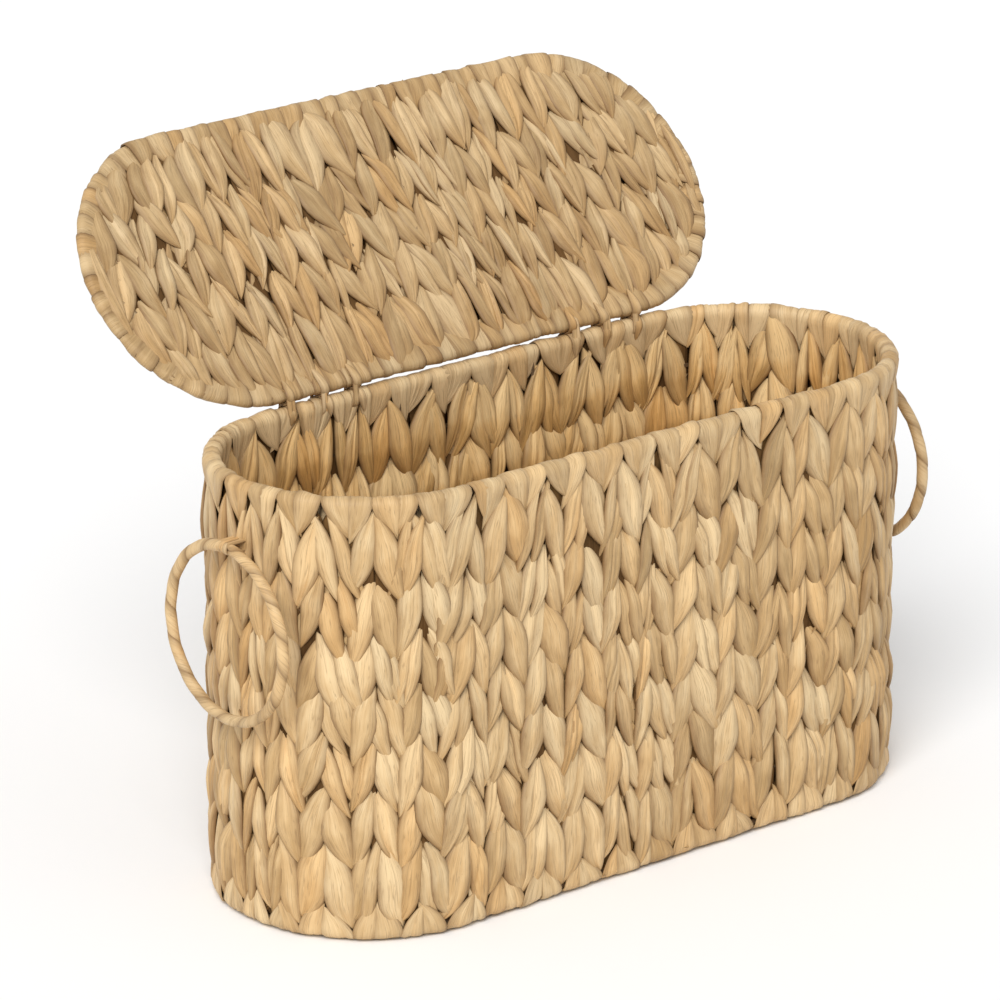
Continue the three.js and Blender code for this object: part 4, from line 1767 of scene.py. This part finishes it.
@dataclass
class FlatWeave:
    """A flat woven sheet across an oval: columns from front to rear over wires that run lengthwise.

    Attributes:
        plan: The oval of its hoop.
        wires: Places of its wires from front to rear.
        sizes: The build of its leaves.
        columns: Its columns from left to right.
        inset: How far its leaves stay inside the hoop.
        least_reach: The shortest end that a leaf may have.
        least_spare: The least distance from a leaf's middle to the round end beside it.
        straight_end: Height and outline of a leaf's end at the straight sides.
        round_end: Height and outline of a leaf's end at the round ends.
        round_share: The share of a column's width from its middle to where a leaf at a round end stops.
        filler_depth: Height of the fillers' waves.
        filler_share: Greatest width of a filler as a share of the room beside it.
        filler_edge: The share of its width from its middle to where its length is measured.
        filler_least: Half the length of the shortest filler.
    """

    plan: OvalPlan
    wires: list[float]
    sizes: LeafSizes
    columns: Columns
    inset: float = 1.2
    least_reach: float = 4.0
    least_spare: float = 2.5
    straight_end: Pair = (0.3, 5.0)
    round_end: Pair = (0.3, 2.2)
    round_share: float = 0.35
    filler_depth: float = 0.4
    filler_share: float = 1.4
    filler_edge: float = 0.6
    filler_least: float = 6.0

    @property
    def pitch(self) -> float:
        """Distance between two wires."""
        return abs(self.wires[1] - self.wires[0])

    def fit(self, leaf: Strip, width: float, wire: float, way: int) -> bool:
        """Cuts a leaf to the room inside the oval.

        Args:
            leaf: The leaf.
            width: Width of its column.
            wire: Place of the wire that it passes over.
            way: Whether its upper end lies towards the rear, 1, or the front, -1.

        Returns:
            Whether there is room for it.
        """
        reach = self.plan.reach_at(leaf.along, self.inset)
        extra = self.plan.reach_at(abs(leaf.along) - self.round_share * width, self.inset) - reach
        beside = [side * way * (wire - self.plan.middle_y) for side in (1, -1)]
        spare = self.plan.spread_at(wire, self.inset) - abs(leaf.along)
        if reach + min(beside) < self.least_reach or spare < self.least_spare:
            return False
        leaf.width = min(leaf.width, 2 * spare)
        for tip in Tip:
            end = tip.value
            room = reach + beside[end]
            tip_along = leaf.along + leaf.lean[end] + leaf.drift[end]
            tip_room = self.plan.reach_at(tip_along, self.inset) + beside[end]
            if room > self.pitch + self.least_reach and leaf.reach[end] < tip_room:
                continue
            if abs(leaf.along) > self.plan.half_straight:
                leaf.end_at(tip, min(leaf.reach[end], room) + extra, *self.round_end)
                leaf.lean_at(tip, -math.copysign(0.5 * leaf.width, leaf.along))
            else:
                leaf.end_at(tip, room, *self.straight_end)
        return True

    def sheaf(self, name: str, surface: FlatSurface, row: int, rng: Rng) -> Sheaf:
        """Lays one row of leaves.

        Args:
            name: Name of the piece.
            surface: The face that they lie on.
            row: The row's number, from 0 at the front.
            rng: The source of the leaves' differences.

        Returns:
            The sheaf of the row.
        """
        sheaf = Sheaf(name, surface, rng)
        way, wire = surface.up_sign, self.wires[row]
        for middle, width, lean in self.columns:
            for leaf in self.sizes.leaves(middle, way * wire, width, surface.side.value * way * lean, rng):
                if self.fit(leaf, width, wire, way):
                    sheaf.add(leaf)
        return sheaf

    def fillers(self, name: str, surface: FlatSurface, rng: Rng) -> Sheaf:
        """Lays the filler strips between the two faces.

        Args:
            name: Name of the piece.
            surface: The face that they are measured from.
            rng: The source of the strips' differences.

        Returns:
            The sheaf of the fillers.
        """
        sheaf = Sheaf(name, surface, rng)
        filler = Filler(depth=self.filler_depth)
        middle = surface.up_sign * self.plan.middle_y
        for along, width, lean in self.columns:
            spare = self.plan.spread_at(self.plan.middle_y, self.inset) - abs(along)
            if spare < self.least_spare:
                continue
            width = min(width, self.filler_share * spare)
            reach = self.plan.reach_at(abs(along) + self.filler_edge * width, self.inset)
            reach = max(reach, self.filler_least)
            sheaf.add(filler.strip(along, middle, reach, width, lean * 2 * self.pitch, rng))
        return sheaf


@dataclass
class Base:
    """The woven base, seen from below and from inside.

    Attributes:
        plan: The base hoop's oval.
        level: Level of the hoop.
        sizes: The build of the leaves.
    """

    plan: OvalPlan
    level: float
    sizes: LeafSizes = LeafSizes(reach=20.0, over_wire=1.0, at_tip=-0.7, crown=2.1)

    def build(self, rng: Rng) -> None:
        """Builds and dresses both faces.

        Args:
            rng: The source of the differences.
        """
        count = sum(name.startswith("base_wire_") for name in frame["nodes"])
        wires = [float(node_middle(f"base_wire_{i + 1}")[1]) for i in range(count)]
        columns = Columns.across(self.plan, self.sizes.column, rng)
        weave = FlatWeave(self.plan, wires, self.sizes, columns)
        fillers = weave.fillers("base_filler_strips", FlatSurface(self.level, Side.FRONT, 1), rng)
        dress(fillers.build(), FILLER_SHADE, "basket", "base_upper_weave", "base_lower_weave")
        for word, side, finish in (("upper", Side.FRONT, INNER_LEAF), ("lower", Side.BACK, WALL_LEAF)):
            for row in range(count):
                surface = FlatSurface(self.level, side, 1)
                sheaf = weave.sheaf(f"base_{word}_row_{row + 1}", surface, row, rng)
                dress(sheaf.build(), finish, "basket", f"base_{word}_weave")


@dataclass
class Lid:
    """The lid: two faces of leaves over its wires, and strips folded round its edge.

    Attributes:
        pose: The lid's open pose.
        sizes: The build of the leaves.
        edge: The build of the edge strips.
        bar: Radius that the edge strips' undersides follow round the hoop.
        edge_reach: How far the edge strips reach in over each face.
        edge_power: How late they tuck in.
        end_share: Their length at the round ends, as a share of that at the sides.
        dive: How far their tips dive under the leaves.
    """

    pose: LidPose
    sizes: LeafSizes = LeafSizes(column=10.6, reach=21.5, over_wire=1.1, at_tip=-0.4, crown=2.6)
    edge: EdgeSizes = EdgeSizes(overlap=1.25, crown=0.75, bluntness=(3.6, 3.6, 0.85), shortest=0.8)
    bar: float = 2.35
    edge_reach: float = 19.0
    edge_power: float = 1.5
    end_share: float = 0.9
    dive: float = 1.1

    def plan(self) -> OvalPlan:
        """The hoop's oval on the flat lid."""
        return OvalPlan.through(self.pose.flattened(node_points("lid_hoop")))

    def edge_fold(self) -> FoldSurface:
        """Lays the fold round the hoop.

        Returns:
            The fold, from the tip on the lower face to the tip on the upper one.
        """
        leg = leg_line(self.edge_reach, self.bar, self.edge_power)
        inward = leg[:, ::-1] * [1, -1] - [self.edge_reach, 0]
        round_bar = arc_line((0, 0), self.bar, -90, 90)
        line = FoldLine(np.concatenate([inward, round_bar, inward[::-1] * [1, -1]]), 0.5)
        return FoldSurface(self.plan(), line, self.pose)

    def edge_columns(self, plan: OvalPlan, columns: Columns) -> Columns:
        """Shares the edge out among strips.

        Args:
            plan: The hoop's oval.
            columns: The columns of the faces.

        Returns:
            One strip at each end of a column, and more where the round ends leave room.
        """
        ends = sorted((place, lean) for x, _, lean in columns for place in plan.crossings(x))
        places, leans = [], []
        for (place, lean), (after, _) in zip(ends, ends[1:] + [(ends[0][0] + plan.girth, 0.0)]):
            more = max(1, round((after - place) / self.sizes.column))
            places += [place + (after - place) * i / more for i in range(more)]
            leans += [lean * (-1) ** i for i in range(more)]
        middles = np.array(places)
        after, before = np.roll(middles, -1), np.roll(middles, 1)
        after[-1] += plan.girth
        before[0] -= plan.girth
        return Columns((before + 2 * middles + after) / 4, (after - before) / 2, np.array(leans))

    def edge_strip(self, strip: Strip, plan: OvalPlan) -> Strip:
        """Shortens an edge strip at the round ends, and tucks its tips under the leaves.

        Args:
            strip: A strip that runs straight in from the edge.
            plan: The hoop's oval.

        Returns:
            The same strip.
        """
        facing = float(plan.facing(np.array(strip.along)))
        share = self.end_share + (1 - self.end_share) * abs(math.sin(facing)) ** 2
        strip.reach = (strip.reach[0] * share, strip.reach[1] * share)
        low, middle, high = strip.lift
        strip.lift = (low - self.dive, middle, high - self.dive)
        return strip

    def build(self, rng: Rng) -> None:
        """Builds and dresses the faces and the edge.

        Args:
            rng: The source of the differences.
        """
        plan = self.plan()
        count = sum(name.startswith("lid_wire_") for name in frame["nodes"])
        flat = [self.pose.flattened(node_points(f"lid_wire_{i + 1}")) for i in range(count)]
        columns = Columns.across(plan, self.sizes.column, rng)
        weave = FlatWeave(plan, [float(points[:, 1].mean()) for points in flat], self.sizes, columns)
        fillers = weave.fillers("lid_filler_strips", FlatSurface(0.0, Side.FRONT, -1, self.pose), rng)
        dress(fillers.build(), FILLER_SHADE, "lid", "lid_upper_weave", "lid_lower_weave")
        for word, side in (("upper", Side.FRONT), ("lower", Side.BACK)):
            for row in range(count):
                surface = FlatSurface(0.0, side, -1, self.pose)
                sheaf = weave.sheaf(f"lid_{word}_row_{row + 1}", surface, row, rng)
                dress(sheaf.build(), LID_LEAF, "lid", f"lid_{word}_weave")
        fold = self.edge_fold()
        sheaf = Sheaf("lid_edge_strips", fold, rng)
        edge = self.edge_columns(plan, columns)
        for middle, width, lean in edge:
            strip = self.edge.strip(middle, width, lean, fold.line, rng)
            sheaf.add(self.edge_strip(strip, plan))
        dress(sheaf.build(), LID_EDGE, "lid", "lid_edge_wrap")


@dataclass
class HingeTies:
    """Strips that tie the lid's rear bar to the rim, wound round both, with tails laid over both edges.

    Attributes:
        rim: The fold over the rim.
        lid: The fold round the lid's hoop.
        rim_bar: Radius of the tie's underside round the rim.
        lid_bar: Radius of the tie's underside round the lid's bar.
        turns: Times that each of its two strands goes round.
        width: Width of a strand.
        drift: How far a strand moves along the rim.
        apart: Half the distance between its strands.
        crown: Height of a strand's back.
        lift: Heights of a strand at its ends and its middle.
        tail: Length of a tail over each face.
        tail_crown: Height of a tail's back.
        tail_lift: Heights of a tail at its ends and its middle.
        tail_bluntness: Outline of a tail.
    """

    rim: FoldSurface
    lid: FoldSurface
    rim_bar: float = 4.5
    lid_bar: float = 3.15
    turns: float = 1.15
    width: float = 3.3
    drift: float = 2.6
    apart: float = 0.7
    crown: float = 0.6
    lift: Triple = (0.0, 0.3, 0.6)
    tail: float = 15.0
    tail_crown: float = 0.7
    tail_lift: Triple = (0.4, 1.7, 0.4)
    tail_bluntness: Triple = (2.6, 2.6, 0.9)

    # Ranges of a strand's drift and width and of a tail's length and width, as shares.
    DRIFTS = (0.6, 1.2)
    WIDTHS = (0.8, 1.2)
    TAIL_LENGTHS = (0.75, 1.1)
    TAIL_WIDTHS = (1.5, 2.1)
    # Deviations of a tail's place and of its ends.
    TAIL_PLACE = 0.8
    TAIL_SLANT = 2.0

    def places(self) -> dict[str, float]:
        """The ties' CAD nodes, with their x."""
        nodes = sorted(name for name in frame["nodes"] if name.startswith("hinge_tie_"))
        return {node: float(node_middle(node)[0]) for node in nodes}

    def tie(self, node: str, x: float, rng: Rng) -> Sheaf:
        """Winds the tie that stands for a CAD node.

        Args:
            node: The node's name.
            x: Its place along the rim.
            rng: The source of its differences.

        Returns:
            The sheaf of its strands.
        """
        _, y, hinge_z = joint_place("lid_hinge")
        bars = np.array([x, y, node_middle("rim_hoop")[2]]), np.array([x, y, hinge_z])
        belt = BeltSurface(bars, (self.rim_bar, self.lid_bar), np.array([1.0, 0.0, 0.0]))
        sheaf = Sheaf(f"{node}_strip", belt, rng)
        half = belt.girth * self.turns / 2
        for way in (-1, 1):
            drift = way * self.drift * rng.uniform(*self.DRIFTS) / 2
            sheaf.add(Strip(
                along=way * self.apart,
                up=float(rng.uniform(0, belt.girth)),
                reach=(half, half),
                lift=self.lift,
                width=self.width * rng.uniform(*self.WIDTHS),
                crown=self.crown,
                bluntness=Strip.SQUARE_ENDS,
                drift=(-drift, drift),
                creases=2,
                rings=49,
                **chance_tone(rng),
            ))
        return sheaf

    def tails(self, name: str, fold: FoldSurface, rng: Rng) -> Sheaf:
        """Lays the ties' tails over one edge.

        Args:
            name: Name of the piece.
            fold: The edge's fold.
            rng: The source of the tails' differences.

        Returns:
            The sheaf of the tails.
        """
        sheaf = Sheaf(name, fold, rng)
        for x in self.places().values():
            _, rear = fold.plan.crossings(x)
            low, high = (self.tail * rng.uniform(*self.TAIL_LENGTHS) for _ in range(2))
            sheaf.add(Strip(
                along=rear + rng.normal(0, self.TAIL_PLACE),
                reach=(low, high),
                lift=self.tail_lift,
                width=self.width * rng.uniform(*self.TAIL_WIDTHS),
                crown=self.tail_crown,
                bluntness=self.tail_bluntness,
                drift=(rng.normal(0, self.TAIL_SLANT), rng.normal(0, self.TAIL_SLANT)),
                creases=2,
                rings=31,
                **chance_tone(rng),
            ))
        return sheaf

    def build(self, rng: Rng) -> None:
        """Builds and dresses every tie and its tails.

        Args:
            rng: The source of the differences.
        """
        for node, x in self.places().items():
            dress(self.tie(node, x, rng).build(), TIE_STRIP, "basket", node)
        dress(self.tails("hinge_tie_rim_tails", self.rim, rng).build(), TIE_STRIP, "basket")
        dress(self.tails("hinge_tie_lid_tails", self.lid, rng).build(), TIE_STRIP, "lid")


@dataclass
class RingHandle:
    """A wire ring with strips wound round it, and the loop of strip that it hangs in.

    Attributes:
        end: The end of the basket that it is on.
        tube: Radius of the winding's underside.
        turns: Number of turns of each strip.
        strips: Number of strips, one after another.
        lap: How far a turn lies over the next, as a share of its width.
        bare: Half the length that the winding leaves bare, inside the loop.
        end_turns: Turns by which one strip runs on over the next.
        crown: Height of a strip's back.
        lift: Heights of a strip at its ends and its middle.
        bluntness: Outline of a strip.
        slope: Its slope across, so that each turn's edge lies over the next.
        loop_radius: Radius of the loop's underside round its two wires.
        loop_turns: Turns of each of its strands from the middle to an end.
        loop_strands: Number of strands that the loop is wound with.
        loop_pitch: Distance from one strand to the next.
        loop_width: Width of a strand.
        loop_crown: Height of a strand's back.
        loop_lean: Sideways shifts of its ends.
        loop_lift: Heights of a strand at its ends and its middle.
    """

    end: End
    tube: float = 2.15
    turns: float = 5.2
    strips: int = 3
    lap: float = 1.22
    bare: float = 5.0
    end_turns: float = 0.4
    crown: float = 0.75
    lift: Triple = (0.0, 0.12, 0.24)
    bluntness: Triple = (40.0, 40.0, 0.8)
    slope: float = 0.035
    loop_radius: float = 2.0
    loop_turns: float = 0.56
    loop_strands: int = 3
    loop_pitch: float = 3.0
    loop_width: float = 4.2
    loop_crown: float = 0.9
    loop_lean: Pair = (-0.8, 0.8)
    loop_lift: Triple = (0.0, 0.25, 0.5)

    @property
    def word(self) -> str:
        """The end's name."""
        return self.end.name.lower()

    def winding(self, rng: Rng) -> Sheaf:
        """Winds the strips round the ring, from one side of the loop to the other.

        Args:
            rng: The source of the strips' differences.

        Returns:
            The sheaf of the strips.
        """
        top = joint_place(f"handle_{self.word}_swing")
        middle = node_middle(f"handle_core_{self.word}")
        ring = float(top[2] - middle[2])
        length = 2 * math.pi * ring - 2 * self.bare
        tube = TubeSurface(middle, ring, self.tube, length / self.turns / self.strips)
        sheaf = Sheaf(f"handle_{self.word}_winding", tube, rng)
        half = tube.turn_length * (self.turns + self.end_turns) / 2
        for number in range(self.strips):
            place = (number - (self.strips - 1) / 2) * tube.turn_length * self.turns
            sheaf.add(Strip(
                along=0.0,
                up=place,
                reach=(half, half),
                lift=self.lift,
                width=self.lap * tube.spacing,
                crown=self.crown,
                bluntness=self.bluntness,
                roll=self.slope,
                creases=3,
                rings=121,
                back_points=15,
                **chance_tone(rng),
            ))
        return sheaf

    def loop(self, rng: Rng) -> Sheaf:
        """Winds the strands of the loop round the wall hoop and the top of the ring.

        Args:
            rng: The source of the strands' differences.

        Returns:
            The sheaf of the strands.
        """
        top = joint_place(f"handle_{self.word}_swing")
        low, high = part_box(f"handle_loop_{self.word}")
        edge = (high.z - low.z) / 2 / MM
        hoop_x = (low.x / MM + edge) if self.end is End.RIGHT else (high.x / MM - edge)
        bars = np.array([hoop_x, 0.0, top[2]]), np.array([top[0], 0.0, top[2]])
        belt = BeltSurface(bars, (self.loop_radius, self.loop_radius), np.array([0.0, 1.0, 0.0]))
        sheaf = Sheaf(f"handle_{self.word}_loop", belt, rng)
        half = belt.girth * self.loop_turns
        for strand in range(self.loop_strands):
            sheaf.add(Strip(
                along=(strand - (self.loop_strands - 1) / 2) * self.loop_pitch,
                up=float(rng.uniform(0, belt.girth)),
                reach=(half, half),
                lean=self.loop_lean,
                lift=self.loop_lift,
                width=self.loop_width,
                crown=self.loop_crown,
                bluntness=Strip.SQUARE_ENDS,
                creases=1,
                rings=45,
                **chance_tone(rng),
            ))
        return sheaf

    def build(self, rng: Rng) -> None:
        """Builds and dresses the winding and the loop."""
        dress(self.winding(rng).build(), HANDLE_STRIP, f"handle_{self.word}", f"handle_wrap_{self.word}")
        dress(self.loop(rng).build(), TIE_STRIP, "basket", f"handle_loop_{self.word}")


@dataclass
class WireFrame:
    """The hoops, stays, cross wires and rings of the CAD model, which show between the leaves.

    Attributes:
        finish: Their finish.
    """

    finish: WireFinish = WireFinish()

    def dress(self) -> None:
        """Gives every CAD node that still shows the wire's finish."""
        material = self.finish.material()
        for name, node in frame["nodes"].items():
            if node.hide_render:
                continue
            node.data.materials.clear()
            node.data.materials.append(material)
            log.info("%s: wire", name)


@dataclass
class Studio:
    """Floor, light and camera.

    Attributes:
        floor_half: Half the floor's side, in metres.
        floor_grey: Colour of the floor.
        ambient: Strength of the even light.
        key: Strength of the soft main lamp.
        key_turn: The main lamp's azimuth and height, in degrees.
        key_spread: Angle that it is seen under, in degrees.
        eye: The camera's place, in metres.
        azimuth: Its azimuth, in degrees.
        elevation: Its height over the horizon, in degrees.
        lens: Its focal length, in millimetres.
        sensor: Width of the picture behind the lens, in millimetres.
        clip: The nearest and the farthest that it sees, in metres.
    """

    floor_half: float = 30.0
    floor_grey: float = 0.93
    ambient: float = 0.57
    key: float = 2.55
    key_turn: Pair = (-51.0, 42.0)
    key_spread: float = 35.0
    eye: Triple = (-1.90186, -2.20297, 1.18295)
    azimuth: float = -40.21
    elevation: float = 19.065
    lens: float = 216.1
    sensor: float = 36.0
    clip: Pair = (0.1, 100.0)

    @staticmethod
    def way_from(azimuth: float, elevation: float) -> Vector:
        """Gives the way from the object towards a lamp or camera at two angles in degrees."""
        turn, rise = math.radians(azimuth), math.radians(elevation)
        return Vector((math.sin(turn) * math.cos(rise), -math.cos(turn) * math.cos(rise), math.sin(rise)))

    def lay_floor(self) -> None:
        """Lays a pale floor that keeps the basket's shadow."""
        half = self.floor_half / MM
        corners = np.array([[-half, -half, 0], [half, -half, 0], [half, half, 0], [-half, half, 0]])
        floor = solid_piece("studio_floor", corners, np.array([[0, 1, 2, 3]]), np.empty((0, 3), int))
        sheet = NodeSheet("studio_floor")
        shader = sheet.add("ShaderNodeBsdfDiffuse")
        shader.inputs["Color"].default_value = (self.floor_grey, self.floor_grey, self.floor_grey, 1.0)
        sheet.join(shader.outputs[0], sheet.output.inputs["Surface"])
        floor.data.materials.append(sheet.material)

    def light(self) -> None:
        """Sets an even white surround, seen as plain white, and one large soft lamp."""
        world = bpy.data.worlds.new("studio")
        world.use_nodes = True
        bpy.context.scene.world = world
        nodes, links = world.node_tree.nodes, world.node_tree.links
        nodes.clear()
        rays = nodes.new("ShaderNodeLightPath")
        seen = rays.outputs["Is Camera Ray"]
        for name in ("Is Glossy Ray", "Is Transmission Ray"):
            either = nodes.new("ShaderNodeMath")
            either.operation = "MAXIMUM"
            links.new(seen, either.inputs[0])
            links.new(rays.outputs[name], either.inputs[1])
            seen = either.outputs[0]
        lit, white = nodes.new("ShaderNodeBackground"), nodes.new("ShaderNodeBackground")
        lit.inputs["Strength"].default_value = self.ambient
        for background in (lit, white):
            background.inputs["Color"].default_value = (1.0, 1.0, 1.0, 1.0)
        mix, output = nodes.new("ShaderNodeMixShader"), nodes.new("ShaderNodeOutputWorld")
        links.new(seen, mix.inputs[0])
        links.new(lit.outputs[0], mix.inputs[1])
        links.new(white.outputs[0], mix.inputs[2])
        links.new(mix.outputs[0], output.inputs["Surface"])
        lamp = bpy.data.lights.new("studio_key", "SUN")
        lamp.energy = self.key
        lamp.angle = math.radians(self.key_spread)
        key = bpy.data.objects.new("studio_key", lamp)
        key.rotation_mode = "QUATERNION"
        key.rotation_quaternion = self.way_from(*self.key_turn).to_track_quat("Z", "Y")
        bpy.context.scene.collection.objects.link(key)

    def set_camera(self) -> None:
        """Sets the camera at the photograph's angle."""
        data = bpy.data.cameras.new("camera")
        data.sensor_width = self.sensor
        data.lens = self.lens
        data.clip_start, data.clip_end = self.clip
        camera = bpy.data.objects.new("camera", data)
        camera.location = self.eye
        camera.rotation_mode = "QUATERNION"
        camera.rotation_quaternion = (-self.way_from(self.azimuth, self.elevation)).to_track_quat("-Z", "Y")
        bpy.context.scene.collection.objects.link(camera)
        bpy.context.scene.camera = camera

    def build(self) -> None:
        """Builds the whole studio."""
        bpy.context.scene.view_settings.view_transform = "Standard"
        self.lay_floor()
        self.light()
        self.set_camera()


def main() -> None:
    """Builds the basket piece by piece, then its studio."""
    logging.basicConfig(level=logging.INFO, format="%(message)s")
    rng = np.random.default_rng(SEED)
    plan = OvalPlan.through(node_points("rim_hoop"))
    rim, foot = (float(node_middle(name)[2]) for name in ("rim_hoop", "base_hoop"))
    hoop_names = [name for name in frame["nodes"] if name.startswith("wall_hoop_")]
    hoops = sorted(float(node_middle(name)[2]) for name in hoop_names)
    stays = [plan.along(*node_middle(name)[:2]) for name in frame["nodes"] if name.endswith("_stay")]
    columns = Columns.over(0.0, plan.girth, LeafSizes.column, rng).centred_on(stays, plan.girth)
    WallWeave(plan, hoops, columns, stays).build(rng)
    edges = BasketEdges(plan, rim, foot, columns)
    edges.build(rng)
    Base(plan, foot).build(rng)
    lid = Lid(LidPose.at_rest())
    lid.build(rng)
    HingeTies(edges.rim_fold(), lid.edge_fold()).build(rng)
    for end in End:
        RingHandle(end).build(rng)
    WireFrame().dress()
    Studio().build()


if __name__ == "__main__":
    main()
